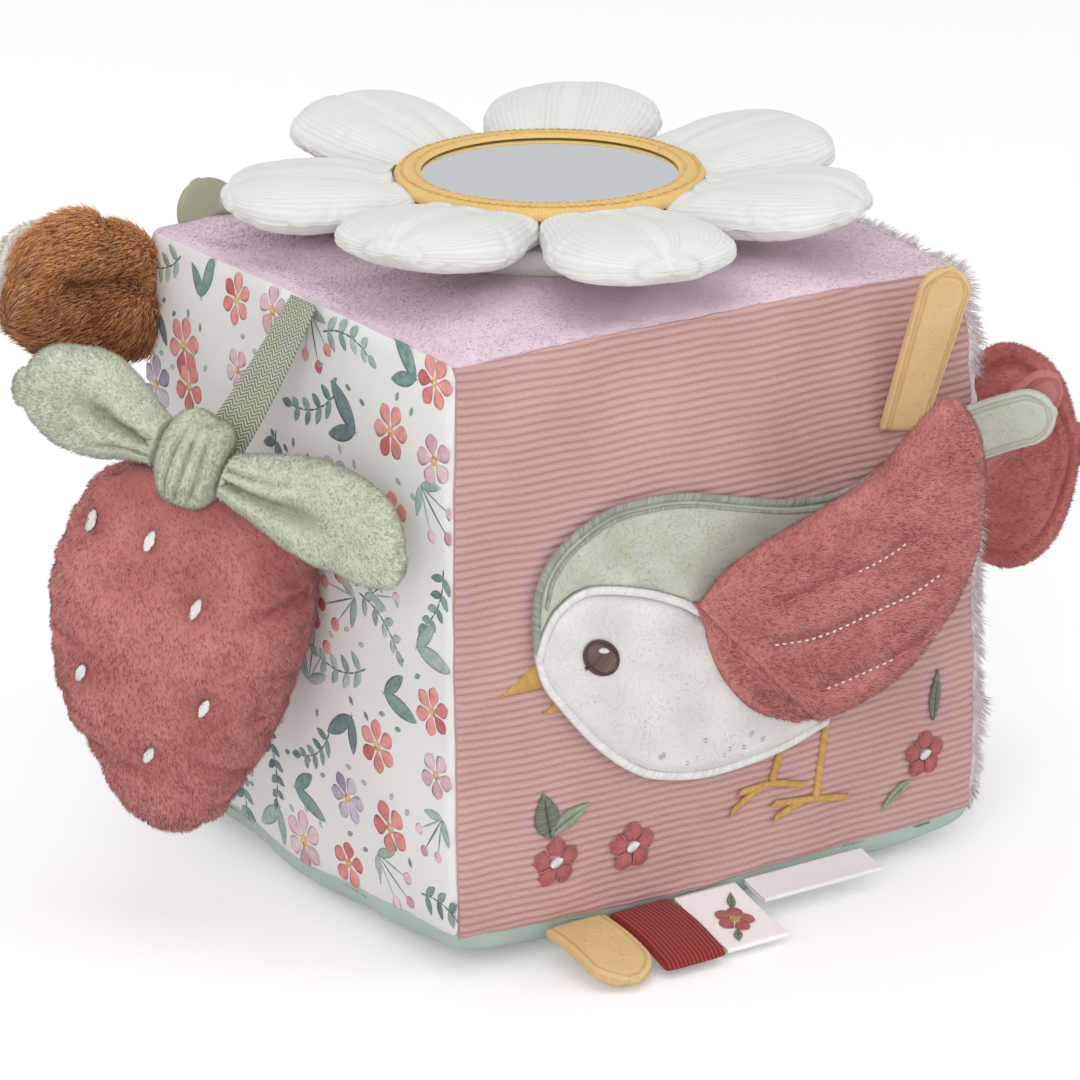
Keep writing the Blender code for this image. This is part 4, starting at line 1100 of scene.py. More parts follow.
@dataclass
class PrintedMeadow:
    """A generic print of blossoms, sprigs and berries, one motif to each cell of a loose lattice."""

    face: ClothFace
    piece: Piece
    cell: float = 15.5 * MM
    grow: float = 1.2
    seed: int = 21
    kinds: tuple[int, ...] = (0, 1, 2, 3, 4)
    warm: tuple[str, ...] = ("coral", "rose", "lilac", "coral", "rose")
    cool: tuple[str, ...] = ("teal", "sage", "slate", "sage", "teal")

    def patches(self, root: Array, tip: Array, width: Array, ink: str, blunt: float) -> None:
        """Flat drops of ink, each a thin closed lens from root to tip.

        Half its width at a share t of its length is width / 2 * sin(pi * t^blunt)^0.7.

        Args:
            root: Where the drops start (n, 2).
            tip: Where they end.
            width: How wide each is.
            ink: The name of their ink.
            blunt: Under 1 they are widest near the root, over 1 near the tip.
        """
        t, across = np.linspace(0.02, 0.98, 8), np.array((-1.0, -0.5, 0.0, 0.5, 1.0))
        half = np.sin(math.pi * t**blunt) ** 0.7 / 2
        way = unit(tip - root)
        side = left_of(way)
        line = root[:, None] * (1 - t)[:, None] + tip[:, None] * t[:, None]
        ring = np.r_[across, across[-2:0:-1]]
        height = np.r_[0.05 + 0.02 * (1 - across**2), np.full(3, -0.10)] * MM
        out = width[:, None, None] * half[:, None] * ring
        flat = line[:, :, None] + side[:, None, None] * out[..., None]
        room = self.face.reach() - 1.2 * MM
        flat = np.clip(flat, -room, room)
        points = self.face.place(flat, np.broadcast_to(height, flat.shape[:-1]))
        draw = np.random.default_rng(len(root))
        faces = [part[:, ::-1] for part in tube_faces(8, 8)]
        tone = np.clip(draw.normal(0.5, 0.22, len(root)), 0, 1)
        self.piece.copies(points.reshape(len(root), -1, 3), faces, INKS[ink], tone)

    def blossom(self, middle: Array, radius: float, count: int, turn: float, ink: str) -> None:
        """Round petals, each with a fine vein, about a small heart.

        Args:
            middle: Its place on the face.
            radius: How far the petals reach.
            count: How many petals it has.
            turn: The angle of its first petal.
            ink: The petals' ink.
        """
        angle = turn + 2 * math.pi * np.arange(count) / count
        way = towards(angle)
        width = np.full(count, radius * 3.6 / count)
        self.patches(middle + 0.14 * radius * way, middle + radius * way, width, ink, 1.5)
        vein = "rose" if ink == "coral" else "coral"
        self.patches(middle + 0.18 * radius * way, middle + 0.55 * radius * way, width * 0.12, vein, 1.0)
        heart = middle + 0.13 * radius * way
        self.patches(heart - 0.09 * radius * way, heart + 0.09 * radius * way, width * 0.28, "ochre", 1.0)

    def sprig(self, middle: Array, length: float, count: int, turn: float, ink: str) -> None:
        """A bent stem with pairs of leaves and one leaf at its end.

        Args:
            middle: Its place on the face.
            length: The stem's length.
            count: How many pairs of leaves it has.
            turn: The angle of the stem.
            ink: The leaves' ink.
        """
        way = towards(turn)
        side = left_of(way)
        t = np.linspace(-0.5, 0.5, 9)
        stem = middle + t[:, None] * length * way + (0.5 * length * (0.25 - t**2))[:, None] * side
        self.patches(stem[:-1], stem[1:] + 0.1 * length * way / 8, np.full(8, 0.5 * MM), "slate", 1.0)
        spots = np.repeat(np.linspace(0.12, 0.86, count), 2)
        root = read_off(stem, t + 0.5, spots)
        lean = np.where(np.arange(2 * count) % 2, 1, -1)[:, None]
        tip = root + length * (0.15 * way + 0.21 * lean * side) * (1.15 - 0.45 * spots)[:, None]
        end = stem[-1:] + 0.24 * length * unit(stem[-1:] - stem[-2:-1])
        root, tip = np.vstack([root, stem[-1:]]), np.vstack([tip, end])
        self.patches(root, tip, np.full(2 * count + 1, 0.125 * length), ink, 0.85)

    def berries(self, middle: Array, length: float, turn: float, ink: str) -> None:
        """Three stalks that fan out to round berries above a pair of leaves.

        Args:
            middle: Its place on the face.
            length: The length of the stalks.
            turn: The angle of the middle stalk.
            ink: The berries' ink.
        """
        angle = turn + np.array((-0.42, 0.0, 0.42))
        way = towards(angle)
        root = np.repeat((middle - 0.55 * length * way[1])[None], 3, axis=0)
        tip = root + length * np.array((0.85, 1.05, 0.85))[:, None] * way
        self.patches(root, tip, np.full(3, 0.5 * MM), "teal", 1.0)
        near, far = tip - 0.06 * length * way, tip + 0.22 * length * way
        self.patches(near, far, np.full(3, 0.25 * length), ink, 1.0)
        leaves = root[:2] + 0.62 * length * towards(turn + np.array((-0.95, 0.95)))
        self.patches(root[:2], leaves, np.full(2, 0.2 * length), "sage", 0.8)

    def leaf_pair(self, middle: Array, length: float, turn: float, ink: str) -> None:
        """Two broad leaves on one stalk, each with a dark middle rib.

        Args:
            middle: Its place on the face.
            length: The longer leaf's length.
            turn: The angle of the pair.
            ink: The leaves' ink.
        """
        angle = turn + np.array((-0.55, 0.45))
        way = towards(angle)
        root = np.repeat((middle - 0.4 * length * towards(turn))[None], 2, axis=0)
        tip = root + length * np.array((1.0, 0.75))[:, None] * way
        self.patches(root, tip, np.array((0.34, 0.28)) * length, ink, 0.9)
        near, far = root - 0.1 * length * way, tip - 0.15 * length * way
        self.patches(near, far, np.full(2, 0.35 * MM), "slate", 1.0)

    def build(self) -> None:
        """Prints the face, with small drops between the motifs."""
        draw = np.random.default_rng(self.seed)
        reach = self.face.reach() - 7.0 * MM
        counts = (2 * reach / self.cell).astype(int) + 1
        for i in range(counts[0]):
            for j in range(counts[1]):
                spot = (np.array((i, j)) / (counts - 1) * 2 - 1) * reach
                spot = np.clip(spot + draw.uniform(-0.30, 0.30, 2) * self.cell, -reach, reach)
                turn, size = draw.uniform(0, 6.28), self.grow * draw.uniform(0.85, 1.12)
                kind = self.kinds[(3 * i + 2 * j) % len(self.kinds)]
                petal, leaf = self.warm[(i + 2 * j) % len(self.warm)], self.cool[(2 * i + j) % len(self.cool)]
                if kind in (0, 2):
                    radius, count = (6.2 * MM, 6) if kind else (5.2 * MM, 5)
                    self.blossom(spot, size * radius, count, turn, petal)
                elif kind == 1:
                    self.sprig(spot, size * 15.5 * MM, 4, turn, leaf)
                elif kind == 3:
                    self.berries(spot, size * 10.5 * MM, turn, petal)
                else:
                    self.leaf_pair(spot, size * 11.5 * MM, turn, leaf)
                for share in ((0.5, 0.42), (0.12, 0.55)):
                    drop = spot + self.cell * np.array(share)
                    if (np.abs(drop) < reach).all():
                        half = 1.2 * MM * towards(2 * turn)[None]
                        self.patches(drop - half, drop + half, np.array([1.3 * MM]), leaf, 1.0)
        self.piece.build("block")


@dataclass
class Cover:
    """All six sewn faces of the block."""

    cube: StuffedCube
    rib_pitch: float = 1.95 * MM
    rib_height: float = 0.42 * MM
    fleece_pile: float = 3.8 * MM

    def front(self) -> ClothFace:
        """The ribbed face, with eight grid columns to each rib."""
        # The dented ribs shape the cloth; the level ribs alone set the painted shade in the grooves between
        # ribs.
        ribs, dented = (Ribs(self.rib_pitch, self.rib_height, dent) for dent in (0.0, 0.2 * MM))
        return ClothFace(
            self.cube, Side.FRONT, "ribbed_face", CORDUROY, 60, 8 * int(self.cube.height / self.rib_pitch),
            0.9 * MM, 1.6 * MM, painted_shading=1.15, relief=dented, pattern=ribs,
        )

    def left(self) -> ClothFace:
        """The printed face."""
        # Its waves get the default painted shading: darker in hollows, lighter on rises.
        return ClothFace(self.cube, Side.LEFT, "printed_face", COTTON, relief=Waves(0.5 * MM, 0.05, 11))

    def lilac(
        self, face: ClothFace, node: str, fibres: int, sweep: Array, clear: Callable[[Array], Array]
    ) -> None:
        """A face of short plush.

        Args:
            face: The face.
            node: The node that it stands for.
            fibres: How many fibres stand on it.
            sweep: The way they lie.
            clear: Gives how thickly they stand at each of the face's points, from 0 to 1.
        """
        piece, points = face.start()
        pile = Pile(fibres, 0.85 * MM, 0.22 * MM, 2.4, 0.14, 3)
        pile.grow(piece, points, face.finish, sweep, weight=clear(points))
        piece.build("block", [node], 0.9)

    def build(self) -> None:
        """Makes the six faces, with their pile and print."""
        front, _ = self.front().start()
        front.build("block", ["cord_panel"], 0.9)
        face = self.left()
        left, _ = face.start()
        left.build("block", ["print_panel"], 0.9)
        PrintedMeadow(face, Piece("meadow_print")).build()
        # Painted shade in the valleys of the folds and waves, painted light on their crests, on the top and
        # back faces.
        relief = RadialFolds(0.034, 1.1 * MM, 5)
        self.lilac(
            ClothFace(self.cube, Side.TOP, "lilac_top", LILAC, painted_shading=0.14, relief=relief),
            "top_panel", 38000, np.array((0.6, -0.8, 0.0)),
            lambda points: ramp(np.hypot(points[..., 0], points[..., 1]), 0.034, 0.040),
        )
        relief, seam = Waves(0.8 * MM, 0.06, 5), self.cube.middle[2] + self.cube.seams[2]
        self.lilac(
            ClothFace(self.cube, Side.BACK, "lilac_back", BACK_LILAC, painted_shading=0.14, relief=relief),
            "back_panel", 12000, -UP, lambda points: ramp(seam - points[..., 2], 0.004, 0.012),
        )
        face = ClothFace(self.cube, Side.BASE, "mint_base", MINT, tuck=0.9 * MM)
        base, _ = face.start()
        base.build("block", ["base_panel"], 0.9)
        PrintedMeadow(
            face, Piece("leaf_print"), 22 * MM, 1.3, 5, (1, 4, 1), ("sage",), ("teal", "sage", "teal")
        ).build()
        # Painted shade in the hollows of the fleece's lumps, painted light on their tops.
        face = ClothFace(
            self.cube, Side.RIGHT, "fleece_face", FLEECE, 120, 120, plump=4.6 * MM, painted_shading=0.2,
            relief=Waves(0.9 * MM, 0.0065, 9),
        )
        piece, points = face.start()
        p, q = face.offsets(points)
        clear = ramp(np.hypot((p + 0.049) / 0.017, (q - 0.014) / 0.036), 0.9, 1.1)
        clear = clear * ramp(np.hypot(p + 0.068, q - 0.030), 0.010, 0.016)
        Pile(38000, self.fleece_pile, 0.48 * MM, 1.0, 0.42, 5).grow(piece, points, FLEECE, -UP, weight=clear)
        piece.build("block", ["fleece_panel"], 0.9)


# ------- padded strips: petals, tabs, leaves


@dataclass
class Blade:
    """A padded strip along a spine, with its width and depth given as shares along it."""

    spine: Array
    across: Array
    width: float
    depth: float
    widths: Array
    depths: Array
    sides: int = 96
    square: float = 0.85
    root_ahead: Array | None = None
    tip_ahead: Array | None = None
    root_bulge: float = 0.0
    tip_bulge: float = 0.0
    cap_steps: int = 6

    def shape(self) -> tuple[Array, Array, Array, Array]:
        """The strip's rings with a rounded cap on each end.

        The spine is cut short by the caps' bulges, so the ends stay where the spine ends. A ring
        is spine + width / 2 * |cos t|^square * across + depth / 2 * |sin t|^square * normal,
        each with the sign of its wave. A cap's rings shrink by cos and move out by bulge * sin.

        Returns:
            The grid, and for each of its points the share across, the share up and the place along.
        """
        travelled = walked(self.spine)
        total = travelled[-1]
        wanted = self.root_bulge + (total - self.root_bulge - self.tip_bulge) * travelled / total
        spine = read_off(self.spine, travelled, wanted)
        ahead = unit(np.gradient(spine, axis=0))
        if self.root_ahead is not None:
            ahead[0] = self.root_ahead
        if self.tip_ahead is not None:
            ahead[-1] = self.tip_ahead
        across = np.broadcast_to(self.across, spine.shape)
        across = unit(across - (ahead * across).sum(axis=1, keepdims=True) * ahead)
        normal = np.cross(ahead, across)
        turn = 2 * math.pi * (np.arange(self.sides) + 0.5) / self.sides
        over, under = (np.sign(wave) * np.abs(wave) ** self.square for wave in (np.cos(turn), np.sin(turn)))
        side = (self.widths[:, None] * over * self.width / 2)[..., None] * across[:, None]
        rise = (self.depths[:, None] * under * self.depth / 2)[..., None] * normal[:, None]
        rings = spine[:, None] + side + rise
        steps = np.linspace(0, 0.46 * math.pi, self.cap_steps + 1)[1:]
        shrink, push = np.cos(steps), np.sin(steps)
        first = spine[0] + (rings[0] - spine[0]) * shrink[:, None, None]
        first = first - ahead[0] * (self.root_bulge * push)[:, None, None]
        last = spine[-1] + (rings[-1] - spine[-1]) * shrink[:, None, None]
        last = last + ahead[-1] * (self.tip_bulge * push)[:, None, None]
        grid = np.concatenate([first[::-1], rings, last])
        scale = np.r_[shrink[::-1], np.ones(len(rings)), shrink]
        along = np.r_[-push[::-1] * 0.02, travelled / total, 1 + push * 0.05]
        along = np.broadcast_to(along[:, None], grid.shape[:2])
        return grid, scale[:, None] * over, scale[:, None] * under, along


@dataclass(frozen=True)
class Stuffing:
    """Fills a sewn bag by cloth simulation: air pressure inside slack cloth that its seams hold.

    The bag is simulated at ten times its size, where the solver is steady, on a coarse copy of
    its grid. The way that each point moved is then spread smoothly over the fine grid.
    """

    pressure: float = 4.0
    slack: float = 0.05
    cap: float = 1.5 * MM
    rows: int = 40
    columns: int = 56
    frames: int = 20
    scale: float = 10.0

    def fill(self, points: Array, held: Array) -> Array:
        """Stuffs a wrapped grid.

        Args:
            points: The bag's grid.
            held: How firmly each grid point is held, from 0 to 1.

        Returns:
            The grid, each point moved by the simulation, but no further than the cap.
        """
        row = np.unique(np.linspace(0, len(points) - 1, self.rows).round().astype(int))
        column = np.unique(np.linspace(0, points.shape[1], self.columns + 1).round().astype(int))[:-1]
        coarse = points[row][:, column]
        bag = Piece("bag")
        bag.bag(coarse * self.scale, FELT)
        made = bag.build("")
        group = made.vertex_groups.new(name="held")
        for number, weight in enumerate(held[row][:, column].ravel().tolist()):
            group.add([number], weight, "REPLACE")
        cloth = made.modifiers.new("stuffing", "CLOTH")
        cloth.settings.quality = 6
        cloth.settings.mass = 0.3
        cloth.settings.bending_stiffness = 0.3
        cloth.settings.use_pressure = True
        cloth.settings.uniform_pressure_force = self.pressure
        cloth.settings.effector_weights.gravity = 0.0
        cloth.settings.shrink_min = cloth.settings.shrink_max = -self.slack
        cloth.settings.vertex_group_mass = "held"
        cloth.collision_settings.use_collision = False
        for step in range(1, self.frames + 1):
            bpy.context.scene.frame_set(step)
        shape = made.evaluated_get(bpy.context.evaluated_depsgraph_get()).data
        moved = np.empty(len(shape.vertices) * 3, np.float32)
        shape.vertices.foreach_get("co", moved)
        moved = moved[: coarse.size].reshape(coarse.shape) / self.scale - coarse
        bpy.data.objects.remove(made)
        bpy.context.scene.frame_set(1)
        far = np.linalg.norm(moved, axis=-1, keepdims=True)
        moved = moved * (self.cap * np.tanh(far / self.cap)) / np.maximum(far, 1e-12)
        moved = np.concatenate([moved, moved[:, :1]], axis=1)
        columns = np.r_[column, points.shape[1]]
        across = np.stack([read_off(line, columns, np.arange(points.shape[1])) for line in moved])
        spots = np.arange(len(points))
        low = np.clip(np.searchsorted(row, spots, side="right") - 1, 0, len(row) - 2)
        share = ((spots - row[low]) / (row[low + 1] - row[low]))[:, None, None]
        log.info("stuffed %d points, moved up to %.2f mm", coarse.size // 3, far.max() / MM)
        return points + across[low] * (1 - share) + across[low + 1] * share


def pushed(points: Array, amount: Array) -> Array:
    """A wrapped grid moved out along its outward normals."""
    return points - amount[..., None] * normals_of(points, True)


TAB_DEPTHS = ((0.0, 0.66), (0.03, 0.95), (0.15, 1.0), (0.85, 1.0), (0.96, 0.80), (1.0, 0.40))


@dataclass
class Daisy:
    """The daisy on the top: seven ribbed petals, the bound ring, the mirror and its padding."""

    cube: StuffedCube
    count: int = 7
    length: float = 0.0385
    width: float = 0.0440
    depth: float = 0.0115
    gap: float = 1.0 * MM
    first_angle: float = 153.5
    seat: float = 2.0 * MM
    tilts: tuple[float, ...] = (3.0, 12.0, 7.5, 6.5, 6.5, 4.0, 8.0)
    turns: tuple[float, ...] = (0.0, 0.0, 0.0, 0.0, 0.0, 0.0, 3.5)
    raised: float = math.radians(45)
    rib_pitch: float = 1.45 * MM
    rib_height: float = 0.18 * MM
    tuck_in: float = 1.8 * MM
    flat_rear: float = 0.40
    ring_radius: float = 0.0367
    ring_width: float = 0.0064
    ring_height: float = 0.0040
    backing: float = 0.0060
    base_height: float = 0.0045

    def __post_init__(self) -> None:
        """Works out the heights of the layers."""
        self.pad_top = self.cube.middle[2] + self.cube.crowns[2] + self.base_height
        self.axis_height = self.pad_top + self.cube.seam_gap + self.depth * 0.5 / 2
        self.axis_radius = self.ring_radius + self.seat
        self.ring_bottom = self.pad_top + 2 * self.cube.seam_gap + self.backing

    def petal(self, number: int) -> None:
        """One petal: a padded blade with lengthwise ribs, a side seam and creases from the ring.

        Args:
            number: Its place round the ring, from 0.
        """
        angle = math.radians(self.first_angle - number * 360 / self.count + self.turns[number])
        outward = np.array((math.cos(angle), math.sin(angle), 0))
        lean = math.radians(self.tilts[number])
        ahead = outward * math.cos(lean) + UP * math.sin(lean)
        normal = UP * math.cos(lean) - outward * math.sin(lean)
        places = np.linspace(0, 1, 48)
        pivot = self.axis_radius * outward + self.axis_height * UP
        reach = (self.length + self.tuck_in) * places - self.tuck_in
        spine = pivot + reach[:, None] * ahead - (0.02 * self.length * places**2)[:, None] * normal
        widths = share_at((
            (0.0, 0.80), (0.18, 0.88), (0.42, 0.98), (0.62, 1.0), (0.82, 0.88), (0.95, 0.60), (1.0, 0.34),
        ), places)
        depths = share_at((
            (0.0, 0.78), (0.04, 0.84), (0.16, 0.92), (0.38, 1.0),
            (0.60, 1.0), (0.82, 0.94), (0.95, 0.74), (1.0, 0.48),
        ), places)
        spacing = math.radians(360 / self.count - (max(self.turns) if number >= self.count - 2 else 0))
        gap = self.gap * (0.3 + 0.7 * ramp(places, 0.05, 0.3))
        far = self.axis_radius + np.where(reach > 0, reach * math.cos(self.raised), reach)
        room = 2 * far * math.tan(spacing / 2) - gap
        aside = np.cross(UP, outward)
        points, over, under, along = Blade(
            spine, aside, 1, self.depth, np.minimum(self.width * widths, room), depths,
            240, 0.75, tip_bulge=2.2 * MM,
        ).shape()
        rear = self.flat_rear * self.depth / 2 * np.interp(along, places, depths) * np.maximum(-under, 0)
        points = points + rear[..., None] * normal
        near, out = 1 - ramp(along, 0.02, 0.35), points @ outward
        turned = np.arctan2(points @ aside, out)
        curled = (out * np.cos(turned))[..., None] * outward + (out * np.sin(turned))[..., None] * aside
        points = points + near[..., None] * (curled + points[..., 2:] * UP - points)
        held = np.maximum(bell(under, 0.12), 1 - ramp(along, 0.0, 0.10))
        points = Stuffing(5.0, 0.02, 1.6 * MM).fill(points, held)
        x = over * self.width / 2
        rib = self.rib_height * (np.abs(np.sin(math.pi * x / self.rib_pitch)) ** 0.8 - 0.6)
        seam = -0.35 * MM * bell(under, 0.07) * (0.4 + 0.6 * ramp(along, 0.05, 0.2))
        crease = sum(
            bell(over - where * (1 + 0.4 * along), 0.10) * deep * MM * (1 - ramp(along, 0.25, end))
            for where, deep, end in ((-0.30, 0.6, 0.60), (0.24, 0.8, 0.75), (0.02, 0.4, 0.45))
        )
        dent = 0.3 * MM * ripple(points, 0.026, 31 + number)
        top = ramp(under, 0.0, 0.5)
        points = pushed(points, rib * ramp(np.abs(under), 0.05, 0.2) + seam - crease * top + dent)
        high = self.ring_bottom + 0.75 * self.ring_height - 0.6 * MM
        stand = (high - points[..., 2].max(axis=1, keepdims=True)) * (1 - ramp(along, 0.02, 0.30))
        points[..., 2] += np.maximum(stand, 0) * top
        piece = Piece(f"daisy_petal_{number + 1}")
        # Painted shade: darker in the grooves between ribs and along the sunken side seam, lighter on the rib
        # crests.
        tone = 0.55 + 0.30 * rib / self.rib_height + 0.1 * seam / MM
        piece.bag(points, DAISY, tone=np.clip(tone, 0, 1))
        made = piece.build("", [f"petal_{number + 1}"], 0.7)
        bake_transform(made)

    def turned(self, outline: Sequence, segments: int = 180) -> Array:
        """A profile carried round the Z axis.

        Args:
            outline: Its (radius, height) points.
            segments: How many steps it takes round.

        Returns:
            A grid with one row for each point of the profile.
        """
        turn = 2 * math.pi * np.arange(segments) / segments
        wheel = np.stack([np.cos(turn), np.sin(turn), np.zeros(segments)], axis=1)
        outline = np.asarray(outline, float)
        return outline[:, 0, None, None] * wheel + outline[:, 1, None, None] * UP

    def ring(self) -> None:
        """The mustard binding round the mirror, with a line of stitches near its outer edge."""
        inner = self.ring_radius - self.ring_width
        lip = self.ring_bottom + 2.1 * MM
        top = self.ring_bottom + 0.75 * self.ring_height
        mirror = inner + 0.47 * self.ring_width + self.cube.seam_gap
        corners = (
            (inner, lip), (inner - 0.1 * MM, lip + 0.3 * MM), (inner + 0.5 * MM, top - 0.15 * MM),
            (inner + 1.6 * MM, top + 0.15 * MM), (self.ring_radius - 2.2 * MM, top + 0.05 * MM),
            (self.ring_radius - 0.7 * MM, top - 0.6 * MM), (self.ring_radius, top - 1.7 * MM),
            (self.ring_radius - 0.2 * MM, self.ring_bottom),
        )
        profile = np.vstack([curve_through(corners, 40), [(mirror, self.ring_bottom), (mirror, lip)]])
        points = self.turned(profile, 240)
        turn = np.broadcast_to(np.arange(240) / 240 * 2 * math.pi, points.shape[:2])
        far = np.hypot(points[..., 0], points[..., 1])
        points[..., 2] += 0.05 * MM * np.sin(70 * turn) * bell(far - self.ring_radius + 1.6 * MM, 1.2 * MM)
        piece = Piece("mirror_binding")
        closed = np.concatenate([points, points[:1]])
        walk = np.broadcast_to(walked(profile)[:, None], points.shape[:2])
        lay = np.stack([walk, turn * self.ring_radius], axis=-1)
        piece.grid(closed, BINDING, wrap=True, flip=True, lay=np.concatenate([lay, lay[:1]]))

        def place(flat: Array, lift: Array) -> Array:
            """Flat places about the axis, lift above the binding's top."""
            high = np.broadcast_to(lift, flat.shape[:-1]) + top + 0.1 * MM
            return np.concatenate([flat, high[..., None]], axis=-1)

        sewing = Needlework(piece, place, 0.42 * MM, 0.12 * MM)
        spots = np.linspace(0, 2 * math.pi, 241)
        for radius, drop in ((self.ring_radius - 1.9 * MM, -0.05 * MM), (inner + 1.4 * MM, 0.0)):
            circle = radius * towards(spots)
            wide = np.where(np.arange(241) % 2, 1.0, -1.0)[:, None] * 0.4 * MM
            circle = circle * (1 + wide / radius)
            sewing.threads(circle[:-1], circle[1:], BINDING_THREAD, drop)
        piece.build("block", ["mirror_ring"])

    def padding(self) -> None:
        """The felt base on the crown and the padded backing under the mirror."""
        radius = self.axis_radius
        rings = np.linspace(0.02, 1, 16) * radius
        turn = 2 * math.pi * np.arange(96) / 96
        x, y = (rings[:, None] * wave for wave in (np.cos(turn), np.sin(turn)))
        under = self.cube.on(Side.TOP, x, y, self.cube.seam_gap)
        level = np.full(x.shape, self.pad_top) - 0.6 * MM * ramp(rings / radius, 0.9, 1.0)[:, None]
        over = np.stack([x, y, level], axis=-1)
        felt = Piece("daisy_base")
        felt.bag(np.concatenate([under, over[::-1]]), FELT)
        felt.build("block", ["flower_base"], 0.8)
        low, high = self.pad_top + self.cube.seam_gap, self.ring_bottom - self.cube.seam_gap
        out = self.ring_radius - MM
        corners = (
            (0.5 * MM, low), (out - 2 * MM, low), (out, low + 1.5 * MM),
            (out, high - 1.5 * MM), (out - 1.5 * MM, high), (0.5 * MM, high),
        )
        backing = Piece("mirror_padding")
        backing.bag(self.turned(corners, 96), FELT)
        backing.build("block", ["mirror_backing"], 0.9)

    def build(self) -> None:
        """Makes the whole daisy."""
        self.padding()
        self.ring()
        for number in range(self.count):
            self.petal(number)


@dataclass
class Strawberry:
    """The stuffed strawberry that hangs on a twill tape, with its tied bow of leaves."""

    cube: StuffedCube
    turn: float = math.radians(36.0)
    height: float = 0.0880
    width: float = 0.0620
    plump: float = 0.0606
    depth: float = 0.0360
    tape_width: float = 0.0105
    tape_thick: float = 0.9 * MM
    knot_width: float = 0.0160
    knot_depth: float = 0.0170
    knot_reach: float = 0.0110
    leaf_width: float = 0.0230
    leaf_depth: float = 0.0140
    seeds: tuple[tuple[float, float], ...] = (
        (-0.0240, 0.0105), (-0.0096, 0.0133), (0.0040, 0.0279),
        (-0.0205, 0.0450), (0.0080, 0.0520), (-0.0050, 0.0643),
    )

    def __post_init__(self) -> None:
        """Works out where the strawberry hangs and which way it looks."""
        self.facing = np.array((-math.sin(self.turn), -math.cos(self.turn), 0))
        self.side = np.array((math.cos(self.turn), -math.sin(self.turn), 0))
        stand_off = self.width / 2 * math.cos(self.turn) + 1.2 * MM + self.depth * 0.18 / 2
        self.start = np.array(
            (-(self.cube.crowns[0] + stand_off), -0.025 * self.cube.depth, 0.801 * self.cube.height)
        )
        self.places = np.linspace(0, 1, 110)
        self.widths = share_at((
            (0.0, 0.34), (0.04, 0.60), (0.12, 0.84), (0.26, 0.97), (0.40, 1.0),
            (0.58, 0.91), (0.74, 0.75), (0.87, 0.56), (0.96, 0.38), (1.0, 0.20),
        ), self.places)
        self.depths = share_at((
            (0.0, 0.22), (0.04, 0.44), (0.12, 0.70), (0.26, 0.92), (0.40, 1.0),
            (0.58, 0.95), (0.74, 0.82), (0.87, 0.60), (0.96, 0.38), (1.0, 0.18),
        ), self.places)
        sway = share_at(((0.0, 0.10), (0.25, 0.04), (0.5, 0.0), (0.75, -0.005), (1.0, -0.02)), self.places)
        self.sway = sway * self.height
        self.spine = self.start - self.height * self.places[:, None] * UP + self.sway[:, None] * self.side
        self.top = self.spine[0]

    def body(self) -> None:
        """The stuffed fruit: a fat blade with dimples at its seeds, folds and a puckered side seam."""
        blade = Blade(
            self.spine, self.side, self.plump, self.depth, self.widths, self.depths, 220, 0.9,
            root_bulge=2.0 * MM, tip_bulge=2.4 * MM,
        )
        points, over, under, along = blade.shape()
        about = points - self.start
        local = np.stack([about @ self.side, -about[..., 2]], axis=-1)
        front = ramp(under, 0.05, 0.3)
        points = Stuffing(6.0, 0.06, 2.5 * MM, 50, 60).fill(points, bell(under, 0.10))
        push = 0.45 * MM * ripple(points, 0.03, 3) + 0.2 * MM * ripple(points, 0.011, 8) * front
        seeds = np.array(self.seeds)
        seeds[:, 0] += np.interp(seeds[:, 1] / self.height, self.places, self.sway)
        for seed in seeds:
            push = push - 1.5 * MM * bell(np.linalg.norm(local - seed, axis=-1), 4.5 * MM) * front
        pucker = np.abs(np.sin(along * 31 + 3 * over)) ** 3
        push = push - 0.35 * MM * pucker * bell(under - 0.2, 0.22) - 0.5 * MM * bell(under, 0.08)
        across, down = local[..., 0], local[..., 1]
        fold = bell(down - 0.064 - 0.55 * across, 2.4 * MM) * ramp(across, 0.0, 0.010)
        fold = fold + bell(down - 0.0365 + 0.25 * across, 1.8 * MM) * ramp(across, 0.012, 0.024)
        fold = fold + 0.3 * bell(down - 0.072 - 0.35 * across, 2.2 * MM) * (1 - ramp(across, -0.004, 0.008))
        push = push - 1.9 * MM * fold * front
        points = pushed(points, push)
        piece = Piece("strawberry")
        # Painted shade: darker where the cloth is pushed in at dimples, folds and the seam, lighter where it
        # bulges.
        piece.bag(points, CORAL, tone=np.clip(0.5 + 0.10 * push / MM, 0.1, 0.9))
        Pile(42000, 1.25 * MM, 0.25 * MM, 1.5, 0.22, 12).grow(
            piece, points, CORAL, -UP + 0.25 * self.side, wrap=True, flip=True
        )
        about = (points - self.start)[front > 0.5]
        spots, heights = np.stack([about @ self.side, -about[:, 2]], axis=1), about @ self.facing

        def place(flat: Array, lift: Array) -> Array:
            """Flat places (across, down) on the front, lift above its nearest grid point."""
            out = heights[nearest(spots, flat)] + lift
            return self.start + flat[..., :1] * self.side - flat[..., 1:] * UP + out[..., None] * self.facing

        sewing = Needlework(piece, place, 0.42 * MM, 0.5 * MM, 1.0 * MM)
        t = np.linspace(-0.95, 0.95, 9)[:, None]
        ahead, aside = np.array((0.42, -0.91)), np.array((0.91, 0.42))
        for seed in seeds:
            spine, half = seed + 0.95 * MM * t * aside, np.sqrt(1 - t**2) * 2.5 * MM * ahead
            sewing.threads(spine - half, spine + half, WHITE_THREAD)
        piece.build("strawberry", ["strawberry_body"], 0.8)

